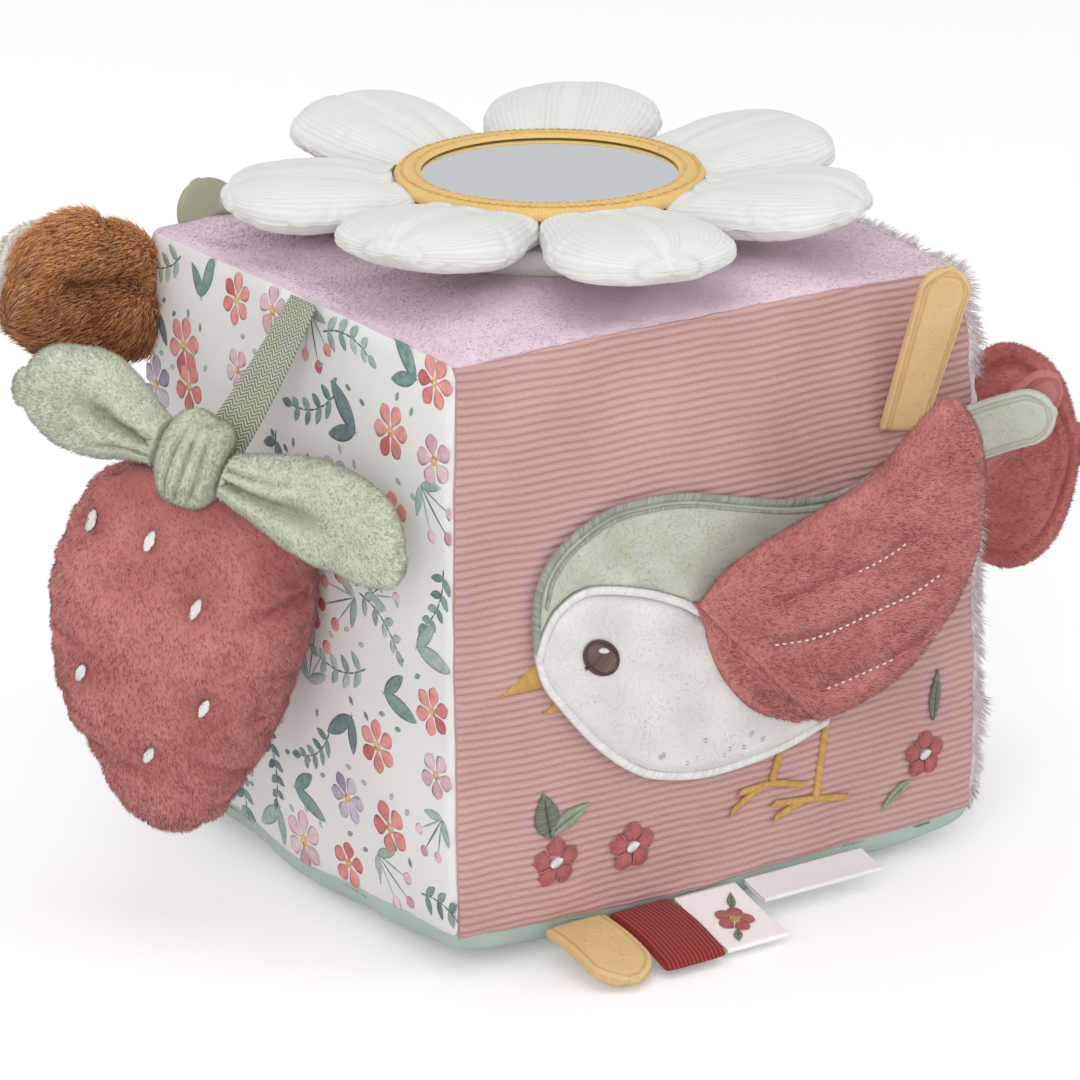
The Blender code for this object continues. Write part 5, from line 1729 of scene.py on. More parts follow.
    def tape(self) -> None:
        """The herringbone tape from the top seam to the bow, turning as it goes down."""
        seam = self.cube.on(Side.LEFT, 0.075 * self.cube.depth, self.cube.seams[2], 0.0)
        root = np.array((
            seam[0] - 2 * self.cube.seam_gap - 1.4 * MM, seam[1], self.cube.middle[2] + self.cube.seams[2],
        ))
        end = self.top + (2 * self.cube.seam_gap + 0.7 * MM) * UP + 2 * MM * self.facing
        places = np.linspace(0, 1, 40)
        path = root + (end - root) * places[:, None] - (1.5 * MM * np.sin(math.pi * places))[:, None] * UP
        twist = BEHIND * (1 - places[:, None]) - self.side * places[:, None]
        points, over, _, along = Blade(
            path, twist, self.tape_width, self.tape_thick, np.ones(40), np.ones(40), 40, 0.35,
            tip_ahead=-UP, cap_steps=2,
        ).shape()
        length = float(np.linalg.norm(end - root))
        piece = Piece("twill_tape")
        piece.bag(points, TWILL, lay=np.stack([over * self.tape_width / 2, along * length], axis=-1))
        made = piece.build("strawberry", ["hanging_tape"])

    def bow(self) -> None:
        """The knot and its two leaves: folded plush with a trough that starts in the knot."""
        knot = self.top + 0.0100 * self.facing + 0.0045 * UP - 0.0030 * self.side
        reaches = {"left": np.array((-0.0300, 0.0264, 0.0150)), "right": np.array((0.0220, -0.0500, -0.0170))}
        across = unit(reaches["right"] - reaches["left"])
        forward = unit(np.cross(across, UP))
        t = np.linspace(0, math.pi, 60)
        swell = np.sqrt(np.sin(np.clip(t, 0.12, math.pi - 0.12)))
        spine = knot - np.cos(t)[:, None] * self.knot_reach * unit(np.cross(across, forward))
        points, over, _, along = Blade(
            spine, across, self.knot_width, self.knot_depth, swell, swell, 120, 0.9,
            root_bulge=0.5 * MM, tip_bulge=0.5 * MM,
        ).shape()
        folds = bell(over + 0.38, 0.10) + bell(over - 0.12, 0.09) + 0.8 * bell(over - 0.58, 0.09)
        folds, inside = -1.2 * MM * folds, ramp(np.sin(math.pi * np.clip(along, 0, 1)), 0.1, 0.6)
        points = pushed(points, folds * inside + 0.4 * MM * ripple(points, 0.01, 2))
        piece = Piece("bow_knot_plush")
        # Painted shade: darker in the knot's folds.
        piece.bag(points, SAGE, tone=np.clip(0.5 + 0.25 * folds / MM, 0.1, 1))
        Pile(7500, 1.1 * MM, 0.25 * MM, 1.4, 0.22, 14).grow(piece, points, SAGE, -UP, wrap=True, flip=True)
        piece.build("strawberry", ["bow_knot"], 0.7)
        for name, reach in reaches.items():
            way = across if name == "right" else -across
            first, tip = knot + way * (self.knot_width / 2 + self.cube.seam_gap), knot + reach
            bend = first + way * np.linalg.norm(tip - first) / 3
            sag = 0.06 * np.linalg.norm(reach) * UP
            places = np.linspace(0, 1, 80)
            spine = curve_through((first, bend + sag / 2, (bend + tip) / 2 + sag, tip), 80)
            widths = share_at((
                (0.0, 0.48), (0.12, 0.60), (0.35, 0.88), (0.60, 1.0), (0.82, 0.88), (0.94, 0.64), (1.0, 0.42),
            ), places)
            depths = share_at((
                (0.0, 0.62), (0.12, 0.80), (0.35, 1.0), (0.60, 0.94), (0.82, 0.76), (0.94, 0.54), (1.0, 0.34),
            ), places)
            points, over, _, along = Blade(
                spine, np.cross(way, forward), self.leaf_width, self.leaf_depth, widths, depths,
                160, 0.85, way, root_bulge=0.5 * MM, tip_bulge=2.6 * MM,
            ).shape()
            outward = (-normals_of(points, True)) @ (self.facing * 0.8 + UP * 0.6)
            front = ramp(outward, 0.1, 0.6)
            middle = 0.12 if name == "left" else 0.05
            trough = bell(over - middle, 0.16 + 0.12 * np.clip(along, 0, 1)) * (1 - ramp(along, 0.45, 0.75))
            second = 0.6 * bell(over + 0.55, 0.12) * (1 - ramp(along, 0.25, 0.5))
            points = Stuffing(4.0, 0.05, 1.0 * MM, 32, 40).fill(points, 1 - ramp(along, 0.0, 0.12))
            push = -4.2 * MM * trough * front - 2.0 * MM * second * front
            push = push + 0.5 * MM * ripple(points, 0.016, 17)
            points = pushed(points, push)
            piece = Piece(f"bow_leaf_{name}_plush")
            # Painted shade: darker in the troughs and dents, lighter where the cloth bulges.
            piece.bag(points, SAGE, tone=np.clip(0.55 + 0.09 * push / MM, 0.05, 1))
            pile = Pile(15000, 1.1 * MM, 0.25 * MM, 1.5, 0.22, 15)
            pile.grow(piece, points, SAGE, way, wrap=True, flip=True)
            piece.build("strawberry", [f"bow_leaf_{name}"], 0.6)

    def build(self) -> None:
        """Makes the strawberry, its tape and its bow."""
        self.body()
        self.tape()
        self.bow()


@dataclass
class Bird:
    """The bird on the ribbed face: its sewn-on back and belly, and all the needlework round it."""

    cube: StuffedCube
    depth: float = 2.4 * MM
    top: tuple = (
        (-0.358, 0.006), (-0.356, 0.073), (-0.340, 0.123), (-0.301, 0.165), (-0.227, 0.202),
        (-0.151, 0.209), (-0.075, 0.203), (0.022, 0.179), (0.120, 0.156), (0.220, 0.150),
        (0.300, 0.170), (0.388, 0.228),
    )
    split: tuple = (
        (-0.354, -0.001), (-0.342, 0.027), (-0.318, 0.061), (-0.264, 0.083), (-0.169, 0.064),
        (-0.092, 0.032), (-0.044, 0.005), (0.068, -0.021), (0.192, 0.011), (0.312, 0.103), (0.412, 0.193),
    )
    belly: tuple = (
        (-0.354, -0.005), (-0.343, -0.047), (-0.320, -0.085), (-0.244, -0.176), (-0.166, -0.239),
        (-0.093, -0.265), (-0.010, -0.274), (0.109, -0.263), (0.209, -0.236), (0.302, -0.157),
        (0.372, -0.027), (0.412, 0.173),
    )

    def place(self, flat: Array, lift: Array) -> Array:
        """Where offsets of the ribbed face lie, lift above its skin."""
        return self.cube.on(Side.FRONT, flat[..., 0], flat[..., 1], lift)

    def patch(
        self, name: str, first: Sequence, second: Sequence, finish: Finish, node: str, seed: int
    ) -> None:
        """A cloth shape between two outlines: it stands depth high and rolls down to its border.

        Args:
            name: The piece's name.
            first: Its upper outline, as shares of the block's width.
            second: Its lower outline.
            finish: Its cloth.
            node: The node that it stands for.
            seed: The number that its unevenness starts from.
        """
        first, second = (even_curve(line, 150) * self.cube.width for line in (first, second))
        t = np.linspace(0, 1, 60)
        flat = first[None] * (1 - t)[:, None, None] + second[None] * t[:, None, None]
        inside = np.minimum(t, 1 - t)[:, None] * np.linalg.norm(second - first, axis=1)[None]
        along = np.minimum(np.arange(150), 149 - np.arange(150)) * MM
        crown = np.sqrt(ramp(np.minimum(inside, along[None]), -0.4 * MM, 3.5 * MM))
        lift = self.depth * (0.25 + 0.95 * crown) + 0.25 * MM * ripple(flat, 0.02, seed)
        points = self.place(flat, lift)
        piece = Piece(name)
        piece.grid(points, finish, flip=True, tone=0.45 + 0.12 * ripple(flat, 0.012, seed + 1))
        rim = rim_of(flat)
        rims = np.stack([self.place(rim, high) for high in (self.depth * 0.25, 0.25 * MM)])
        piece.grid(rims, finish, wrap=True, flip=True)
        piece.grid(self.place(flat, 0.25 * MM), finish)
        pile = Pile(9000, 0.35 * MM, 0.15 * MM, 1.8, 0.05, seed)
        pile.grow(piece, points, finish, -UP + 0.3 * RIGHT, flip=True)
        piece.build("block", [node], 0.3)

    def needlework(self) -> None:
        """Borders, eye, beak, legs, flecks and the small flowers."""
        piece = Piece("bird_needlework")
        sew = Needlework(piece, self.place, 0.5 * MM, 0.7 * MM)
        width = self.cube.width
        outline = np.array((*self.top[1:-1], (0.332, 0.187))) * width
        sew.border([(-0.0512, -0.001), *outline], 2.1 * MM, SILVER_THREAD, lift=1.6 * MM)
        inner = even_curve(outline, 60)
        way = unit(np.gradient(inner, axis=0))
        inner = inner - left_of(way) * 1.9 * MM
        sew.border(inner, 0.9 * MM, SILVER_THREAD, 1.0, lift=2.3 * MM)
        sew.border(np.array(self.belly[:9]) * width, 2.3 * MM, WHITE_THREAD, lift=1.6 * MM)
        middle = np.array(self.split[1:8]) * width
        sew.border([(-0.0512, -0.002), *middle], 2.3 * MM, WHITE_THREAD, lift=2.2 * MM)
        high, eye, slant = self.depth + 0.35 * MM, np.array((-0.0354, -0.0041)), -0.73
        turn, ahead = np.linspace(0, 2 * math.pi, 60)[:, None], towards(slant)
        rim = eye + 4.9 * MM * np.cos(turn) * ahead + 3.5 * MM * np.sin(turn) * left_of(ahead)
        sew.ellipse(eye, 10.0 * MM, 7.2 * MM, slant, BROWN_THREAD, high)
        sew.border(rim, 0.9 * MM, DARK_THREAD, lift=high + 0.1 * MM)
        sew.ellipse((-0.0354, -0.0022), 2.6 * MM, 1.5 * MM, math.radians(-15), WHITE_THREAD, high + 0.8 * MM)
        sew.border(((-0.0386, -0.0052), (-0.0394, -0.0060)), 0.8 * MM, DARK_THREAD, lift=high)
        for upper, lower, tip in (
            (
                ((-0.0500, -0.0022), (-0.0553, -0.0060)), ((-0.0462, -0.0098), (-0.0534, -0.0099)),
                (-0.0600, -0.0094),
            ),
            (
                ((-0.0450, -0.0128), (-0.0474, -0.0146)), ((-0.0428, -0.0160), (-0.0460, -0.0164)),
                (-0.0489, -0.0158),
            ),
        ):
            sew.fill((*upper, tip), (*lower, tip), GOLD_THREAD, 0.3 * MM)
        for leg in (((0.0178, -0.0375), (0.0153, -0.0464)), ((0.0307, -0.0345), (0.0288, -0.0538))):
            sew.border(leg, 2.2 * MM, GOLD_THREAD, 0.8, 0.3 * MM)
        for toe in (
            ((0.0248, -0.0495), (0.0153, -0.0470), (0.0059, -0.0472)),
            ((0.0120, -0.0476), (0.0080, -0.0492), (0.0038, -0.0520)),
            ((0.0379, -0.0558), (0.0288, -0.0540), (0.0160, -0.0523)),
            ((0.0250, -0.0540), (0.0208, -0.0548), (0.0166, -0.0565)),
        ):
            sew.border(toe, 1.9 * MM, GOLD_THREAD, 0.9, 0.35 * MM)
        flecks = np.array((
            (-0.0063, -0.0304), (0.0068, -0.0316), (0.0008, -0.0341), (0.0102, -0.0337), (0.0047, -0.0345),
            (-0.0084, -0.0344), (-0.0008, -0.0352), (-0.0181, -0.0318), (-0.0111, -0.0350),
        ))
        for k, spot in enumerate(flecks):
            slope = np.array((1.1, 0.25 if k % 2 else -0.35)) * MM
            rows = spot + np.array([(0, -0.35), (0, 0.35)]) * MM
            sew.threads(rows - slope, rows + slope, GREY_THREAD, self.depth - 0.15 * MM)
        flat = Needlework(piece, self.place, 0.45 * MM, 0.7 * MM, 0.3 * MM)
        for x, z, radius in ((-0.0446, -0.0534, 6.4), (-0.0238, -0.0541, 6.4), (0.0617, -0.0504, 6.2)):
            flat.blossom((x, z), radius * MM, CORAL_THREAD, WHITE_THREAD)
        for root, end, wide, finish in (
            ((-0.0462, -0.0470), (-0.0486, -0.0352), 7.0 * MM, LEAF_THREAD),
            ((-0.0462, -0.0458), (-0.0358, -0.0402), 4.6 * MM, PALE_LEAF_THREAD),
            ((0.0638, -0.0420), (0.0646, -0.0288), 3.4 * MM, LEAF_THREAD),
            ((0.0572, -0.0562), (0.0490, -0.0616), 3.0 * MM, PALE_LEAF_THREAD),
        ):
            flat.leaf(root, end, wide, finish)
        piece.build("block")

    def build(self) -> None:
        """Makes the bird without its wing."""
        gap = self.cube.seam_gap / self.cube.width
        split = np.array(self.split)
        self.patch("bird_sage_back", self.top, split + (0, gap), SAGE_VELOUR, "bird_back", 41)
        self.patch("bird_cream_belly", split - (0, gap), self.belly, CREAM, "bird_belly", 43)
        self.needlework()


@dataclass
class Wing:
    """The loose wing: one plush bag sewn to the bird along its rounded hem, free beyond the fold."""

    cube: StuffedCube
    depth: float = 9.5 * MM
    bird: float = 2.4 * MM
    lift: float = math.radians(19.0)
    seat: float = 2.6 * MM
    room: float = 1.4 * MM
    across: int = 110
    rows: int = 120
    hem_rows: int = 26

    def __post_init__(self) -> None:
        """Works out the fold line, the wing's plane and its stitched lines."""
        width = self.cube.width
        self.ends = np.array(((-0.075, 0.031), (0.162, -0.213))) * width
        self.line = unit(self.ends[1] - self.ends[0])
        self.ahead = left_of(self.line)
        self.middle = self.ends.mean(axis=0)
        out = self.cube.crowns[1] + self.cube.seam_gap + self.bird + self.seat
        self.pivot = self.cube.middle + self.middle[0] * RIGHT + self.middle[1] * UP - out * BEHIND
        self.rim = np.array((
            (-0.075, 0.031), (-0.0490, -0.012), (-0.042, -0.038), (-0.024, -0.080), (0.009, -0.126),
            (0.046, -0.165), (0.092, -0.195), (0.145, -0.2178), (0.162, -0.213),
        ))
        self.lines = {
            "upper": ((0.0081, 0.0064), (0.0224, 0.0120), (0.0319, 0.0161), (0.0366, 0.0196)),
            "middle": (
                (0.0075, -0.0056), (0.0179, -0.0035), (0.0276, -0.0001), (0.0379, 0.0049), (0.0466, 0.0100),
            ),
            "lower": (
                (0.0221, -0.0188), (0.0311, -0.0152), (0.0366, -0.0128), (0.0429, -0.0094), (0.0480, -0.0051),
            ),
        }

    def lifted(self, flat: Array, height: Array) -> Array:
        """Flat offsets turned out about the fold line by the wing's lift.

        Args:
            flat: Offsets to the right of and above the face's middle.
            height: Heights above the wing's middle plane.

        Returns:
            An array of places.
        """
        reach, slide = (flat - self.middle) @ self.ahead, (flat - self.middle) @ self.line
        ahead, line = (way[0] * RIGHT + way[1] * UP for way in (self.ahead, self.line))
        out = reach * math.sin(self.lift) + height * math.cos(self.lift)
        near = reach * math.cos(self.lift) - height * math.sin(self.lift)
        return self.pivot + near[..., None] * ahead + slide[..., None] * line - out[..., None] * BEHIND

    def surfaces(self) -> tuple[Array, Array, Array, Array]:
        """Works out the whole wing, its rows from the sewn rim over the fold to the tip.

        The stuffing swells it by (1 - (2a - 1)^4)^0.5 across and by square roots at both ends;
        stitched lines pull it in.

        Returns:
            Its front grid, its rear grid, its flat offsets and the heights of its front.
        """
        width = self.cube.width
        lead = even_curve((
            (-0.075, 0.031), (-0.036, 0.088), (0.024, 0.134), (0.112, 0.184),
            (0.196, 0.240), (0.252, 0.316), (0.290, 0.372),
        ), self.rows) * width
        trail = even_curve((
            (0.162, -0.213), (0.219, -0.188), (0.292, -0.140), (0.358, -0.041),
            (0.392, 0.081), (0.387, 0.210), (0.360, 0.310), (0.318, 0.369),
        ), self.rows) * width
        a = np.linspace(0, 1, self.across)
        flat = lead[:, None] * (1 - a)[:, None] + trail[:, None] * a[:, None]
        along = np.broadcast_to(np.linspace(0, 1, self.rows)[:, None], flat.shape[:2])
        edge = np.sqrt(np.maximum(1 - (2 * a - 1) ** 4, 0))
        tip = np.sqrt(np.clip((1 - along) * 4.5, 0, 1))
        root = np.sqrt(np.clip(0.30 + along * 5, 0, 1))
        swell = 0.08 + 0.92 * edge * tip * root
        pull = sum(bell(distance_to(flat, even_curve(line, 60)), 2.6 * MM) for line in self.lines.values())
        height = self.depth / 2 * swell * 1.15 - 1.1 * MM * np.clip(pull, 0, 1) * edge
        height = height + 0.35 * MM * ripple(flat, 0.016, 5) * edge * tip
        front = self.lifted(flat, height)
        rear = self.lifted(flat, -self.depth / 2 * swell * 0.9)
        r = np.linspace(1, 0, self.hem_rows + 1)[:-1, None, None]
        line = self.ends[0] * (1 - a)[:, None] + self.ends[1] * a[:, None]
        rim = even_curve(self.rim, self.across) * width
        bulk = np.sin(math.pi * a)[:, None]
        hem = line * (1 - r) + rim * r - self.ahead * self.room * bulk * r
        gap = np.linalg.norm(rim - line, axis=1)[None] * (1 - r[..., 0])
        bed = self.cube.seam_gap + self.bird
        rolled = np.sqrt(np.clip(1 - (1 - np.clip(gap / (1.6 * MM), 0, 1)) ** 2, 0, 1))
        body = self.seat + self.depth / 2 * swell[0] * 1.15
        share = np.clip(1 - r[..., 0], 0, 1)
        high = 2.4 * MM * rolled * (1 - share) + body * ramp(share, 0.0, 1.0) * share
        high = high - 1.1 * MM * bell(gap - 4.2 * MM, 1.1 * MM) * np.sin(math.pi * a)
        front, rear = (
            np.concatenate([self.cube.on(Side.FRONT, hem[..., 0], hem[..., 1], bed + lift), free])
            for lift, free in ((np.maximum(high, 0.2 * MM), front), (0.0, rear))
        )
        return front, rear, np.concatenate([hem, flat]), np.concatenate([np.zeros(hem.shape[:2]), height])

    def build(self) -> None:
        """Makes the wing and its stitches, bending from the bird at the fold line."""
        front, rear, flat, height = self.surfaces()
        ring = np.concatenate([front, rear[:, ::-1]], axis=1)
        piece = Piece("wing_plush")
        # Painted shade: the front is darker near the stitched lines, where they pull the wing in.
        sewn = np.concatenate([even_curve(line, 40) for line in self.lines.values()])
        gap = np.minimum(1.0, distance_to(flat, sewn) / (3 * MM))
        tone = np.concatenate([0.42 + 0.12 * gap, np.full(rear.shape[:2], 0.45)], axis=1)
        piece.bag(ring, CORAL, tone=tone)
        level = self.ahead[0] * RIGHT + self.ahead[1] * UP
        pile = Pile(35000, 1.25 * MM, 0.25 * MM, 1.5, 0.22, 22)
        pile.grow(piece, ring, CORAL, level + 0.4 * RIGHT, wrap=True, flip=True)
        body = flat[self.hem_rows:].reshape(-1, 2)
        heights = height[self.hem_rows:].reshape(-1)

        def place(spots: Array, lift: Array) -> Array:
            """Flat offsets on the wing's front, at the height of its nearest grid point."""
            return self.lifted(spots, heights[nearest(body, spots)] + lift)

        sew = Needlework(piece, place, 0.6 * MM, 0.3 * MM, 0.8 * MM)
        upper, middle, lower = (even_curve(self.lines[name], 60) for name in ("upper", "middle", "lower"))
        for line, stitch, finish in (
            (upper[:34], 2.2 * MM, WING_THREAD), (upper[34:], 0.9 * MM, WHITE_THREAD),
            (middle, 0.9 * MM, WHITE_THREAD),
            (lower[:36], 0.9 * MM, WHITE_THREAD), (lower[36:], 2.2 * MM, WING_THREAD),
        ):
            sew.run(line, stitch, 0.75 * MM, finish)
        made = piece.build("", ["wing_front", "wing_back", "wing_hem"], 0.6)
        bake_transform(made)


@dataclass
class LoosePieces:
    """Tail feathers, ribbon tabs, the furry brush, the leaf tab and the side flap."""

    cube: StuffedCube
    first_edge: float = -0.3255
    longest: float = 0.0255
    feather_depth: float = 3.0 * MM
    brush_reach: float = 0.0400
    brush_width: float = 0.0385
    brush_depth: float = 0.0200
    lining_depth: float = 3.0 * MM
    leaf_reach: float = 9.8 * MM
    leaf_width: float = 0.0175
    leaf_depth: float = 3.0 * MM
    flap_reach: float = 0.0315
    flap_width: float = 0.0580
    flap_depth: float = 8.0 * MM

    def tab(
        self, name: str, root: Array, root_ahead: Array, reach: Array, acrosses: tuple[Array, Array],
        width: float, depth: float, finish: Finish, bend: float = 0.0, square: float = 0.45,
        rounded: bool = True, seams: Sequence[float] = (), pile: int = 0,
    ) -> Piece:
        """A padded ribbon tab: it bows out of its plane and may twist from root to tip.

        Args:
            name: The piece's name.
            root: Where it leaves its seam.
            root_ahead: The way it leaves.
            reach: From its root to its tip.
            acrosses: The way across it at its root and at its tip.
            width: Its full width.
            depth: How thick it is.
            finish: Its cloth.
            bend: How far it bows, as a share of its reach.
            square: How square its section is: 1 is an ellipse, near 0 a box.
            rounded: Whether its tip is a half circle.
            seams: Where stitched grooves run beside its edge, as shares of its half width.
            pile: How many fibres stand on it.

        Returns:
            The piece, not yet built.
        """
        places = np.sin(np.linspace(0, math.pi / 2, 60))
        at_root, at_tip = acrosses
        length = float(np.linalg.norm(reach))
        end = np.clip(1 - (1 - places) * 2 * length / width, 0, 1)
        rounding = np.sqrt(1 - 0.96 * end**2) if rounded else np.ones(60)
        bow = bend * length * np.sin(places * math.pi)
        spine = root + places[:, None] * reach + bow[:, None] * unit(np.cross(reach, at_tip))
        points, over, under, along = Blade(
            spine, at_root * (1 - places[:, None]) + at_tip * places[:, None], width, depth,
            rounding, share_at(TAB_DEPTHS, places), 96, square, root_ahead,
            tip_bulge=0.2 * depth, cap_steps=4,
        ).shape()
        rows, margin = (np.pad(part, 4, "edge")[:, None] for part in (places, rounding))
        inside = np.minimum(margin - np.abs(over), 2 * (1 - rows) * length / width)
        groove = sum((bell(inside - place, 0.05) for place in seams), np.zeros(over.shape))
        points = pushed(points, -0.12 * depth * np.clip(groove, 0, 1) * ramp(np.abs(under), 0.3, 0.8))
        piece = Piece(name)
        lay = np.stack([over * width / 2, along * length], axis=-1)
        # Painted shade: darker in the stitched grooves beside the edge.
        piece.bag(points, finish, lay=lay, tone=0.55 - 0.3 * np.clip(groove, 0, 1))
        if pile:
            fibres = Pile(pile, 0.5 * MM, 0.14 * MM, 1.4, 0.2, 51)
            fibres.grow(piece, points, finish, reach, wrap=True, flip=True)
        return piece

    def feathers(self) -> None:
        """The three tail feathers; the sage one lies over the others."""
        for name, share, layer, reach, across, width, bend, finish in (
            (
                "mustard", (0.352, 0.234), 0, (0.0065, -0.0090, 0.0405), (0.93, -0.34, -0.15),
                0.0125, 0.0, MUSTARD,
            ),
            (
                "sage", (0.426, 0.200), 1, (0.0235, -0.0120, 0.0072), (0.05, -0.20, 0.97),
                0.0140, -0.06, SAGE_VELOUR,
            ),
            (
                "coral", (0.458, 0.140), 0, (0.0280, -0.0050, 0.0200), (-0.42, -0.20, 0.88),
                0.0145, 0.02, CORAL,
            ),
        ):
            p, q = (part * self.cube.width for part in share)
            root = self.cube.on(Side.FRONT, p, q, self.cube.seam_gap + 1.5 * MM + layer * 3.3 * MM)
            wide, reach = np.array(across), np.array(reach)
            piece = self.tab(
                f"feather_{name}_cloth", root, unit(reach * (1, 0, 1)), reach, (wide * (1, 0, 1), wide),
                width, self.feather_depth, finish, bend, seams=(0.14, 0.28), pile=5000,
            )
            piece.build(f"feather_{name}", [f"tail_feather_{name}"], 0.3)

    def folded(
        self, name: str, root: Array, reach: Array, width: float, ply: float, gap: float, finish: Finish
    ) -> Piece:
        """A ribbon folded back on itself: out above, round its fold and back below, sagging by 2%.

        Args:
            name: The piece's name.
            root: Where it leaves its seam.
            reach: From its root to its fold.
            width: Its width.
            ply: How thick one layer is.
            gap: The gap between its layers.
            finish: Its cloth.

        Returns:
            The piece, not yet built.
        """
        length, radius = float(np.linalg.norm(reach)), (ply + gap) / 2
        out, turn = np.linspace(0, length - radius - ply / 2, 30), np.linspace(0, math.pi, 14)[1:-1]
        along = np.r_[out, out[-1] + radius * np.sin(turn), out[::-1]]
        high = np.r_[np.full(30, radius), radius * np.cos(turn), np.full(30, -radius)]
        high = high - 0.02 * length * np.sin(along / length * math.pi)
        path = root + along[:, None] * unit(reach) + high[:, None] * unit(np.cross(reach, RIGHT))
        even = np.ones(len(path))
        points, over, _, share = Blade(path, RIGHT, width, ply, even, even, 40, 0.35, cap_steps=2).shape()
        piece = Piece(name)
        lay = np.stack([over * width / 2, share * 2 * length], axis=-1)
        piece.bag(points, finish, lay=lay, tone=0.55 + 0.06 * ripple(points, 0.02, 6))
        return piece

    def lie(self, x: float, length: float, depth: float) -> tuple[Array, Array]:
        """How a ribbon lies: the longest comes down to just above the floor, the others in step.

        Args:
            x: Where it leaves the bottom seam.
            length: Its visible length.
            depth: How thick it is.

        Returns:
            Its root and its reach.
        """
        skin = self.cube.on(Side.FRONT, x, -self.cube.seams[2], 0.0)
        root = np.array((x, skin[1] - 2 * self.cube.seam_gap, self.cube.middle[2] - self.cube.seams[2]))
        drop = (root[2] - 0.6 * MM - depth / 2) * length / self.longest
        return root, np.array((0, -math.sqrt(length**2 - drop**2), -drop))

    def ribbons(self) -> None:
        """The four ribbons in the bottom seam, side by side."""
        edge = self.first_edge * self.cube.width
        lies = {}
        for name, width, length, depth, gap, finish in (
            ("tab_mustard", 0.0160, self.longest, 0.0030, 0.0, MUSTARD),
            ("tab_burgundy", 0.0165, 0.0240, 0.0026, 0.0014, BURGUNDY),
            ("tab_satin", 0.0175, 0.0225, 0.0014, 0.0014, SATIN),
            ("tab_label", 0.0345, 0.0090, 0.0012, 0.0028, LABEL),
        ):
            x = edge + gap + width / 2
            edge = x + width / 2
            root, reach = lies[name] = self.lie(x, length, depth)
            if finish in (SATIN, LABEL):
                piece = self.folded(name + "_cloth", root, reach, width, 0.36 * depth, 0.28 * depth, finish)
                made = piece.build(name, [name])
                continue
            velvet = finish is MUSTARD
            piece = self.tab(
                name + "_cloth", root, -BEHIND, reach, (RIGHT, RIGHT), width, depth, finish, 0.05, 0.35,
                velvet, seams=(0.16,) if velvet else (), pile=5000 if velvet else 0,
            )
            piece.build(name, [name], 0.2)
        self.satin_blossom(*lies["tab_satin"], 0.0014)

    def satin_blossom(self, root: Array, reach: Array, depth: float) -> None:
        """A small sewn blossom with two leaves on the satin ribbon's upper side.

        Args:
            root: Where the ribbon leaves its seam.
            reach: From its root to its fold.
            depth: How thick it is.
        """
        length = float(np.linalg.norm(reach))

        def place(flat: Array, lift: Array) -> Array:
            """Where offsets on the ribbon lie; its upper side sags by 2%.

            Args:
                flat: Offsets across and along it.
                lift: Heights above its upper side.

            Returns:
                An array of places.
            """
            bow = -0.02 * length * np.sin(np.clip(flat[..., 1] / length, 0, 1) * math.pi)
            high = (depth / 2 + lift + bow)[..., None] * unit(np.cross(reach, RIGHT))
            return root + flat[..., :1] * RIGHT + flat[..., 1:] * unit(reach) + high

        piece = Piece("satin_blossom")
        sew = Needlework(piece, place, 0.4 * MM, 0.3 * MM, 0.1 * MM)
        sew.blossom((0.0, 0.0125), 5.0 * MM, CORAL_THREAD, GOLD_THREAD)
        sew.leaf((0.002, 0.0085), (0.0050, 0.0035), 2.2 * MM, LEAF_THREAD)
        sew.leaf((-0.002, 0.0165), (-0.0045, 0.0205), 2.2 * MM, LEAF_THREAD)
        piece.build("tab_satin")

    def brush(self) -> None:
        """The furry brush at the back of the printed face: long brown pile and a pale rear side."""
        root = self.cube.puffed(-RIGHT + BEHIND + 2 * 0.360 * UP) + self.cube.middle
        root = root - 2 * self.cube.seam_gap * RIGHT
        reach = self.brush_reach * unit(-RIGHT + 0.38 * UP)
        places = np.linspace(0, 1, 60)
        widths = share_at((
            (0.0, 0.62), (0.10, 0.80), (0.30, 0.98), (0.55, 1.0), (0.78, 0.86), (0.93, 0.56), (1.0, 0.26),
        ), places)
        depths = share_at((
            (0.0, 0.40), (0.06, 0.62), (0.30, 0.95), (0.55, 1.0), (0.78, 0.84), (0.93, 0.52), (1.0, 0.22),
        ), places)
        spine = root + places[:, None] * reach
        points, over, _, along = Blade(
            spine[:52], UP, self.brush_width, self.brush_depth, widths[:52] * 0.86, depths[:52] * 0.85,
            110, 0.85, -RIGHT, tip_bulge=3 * MM,
        ).shape()
        fold = bell(over - 0.25 + 0.5 * (along - 0.5), 0.24)
        fold = fold * ramp(normals_of(points, True) @ BEHIND, -0.3, 0.4)
        notch = bell(along - 0.55, 0.09) * ramp(over, 0.6, 0.95)
        push = -6.0 * MM * fold * (1 - ramp(along, 0.80, 1.0)) - 2.6 * MM * notch
        push = push + 0.8 * MM * ripple(points, 0.014, 61)
        points = pushed(points, push)
        piece = Piece("brush_fur")
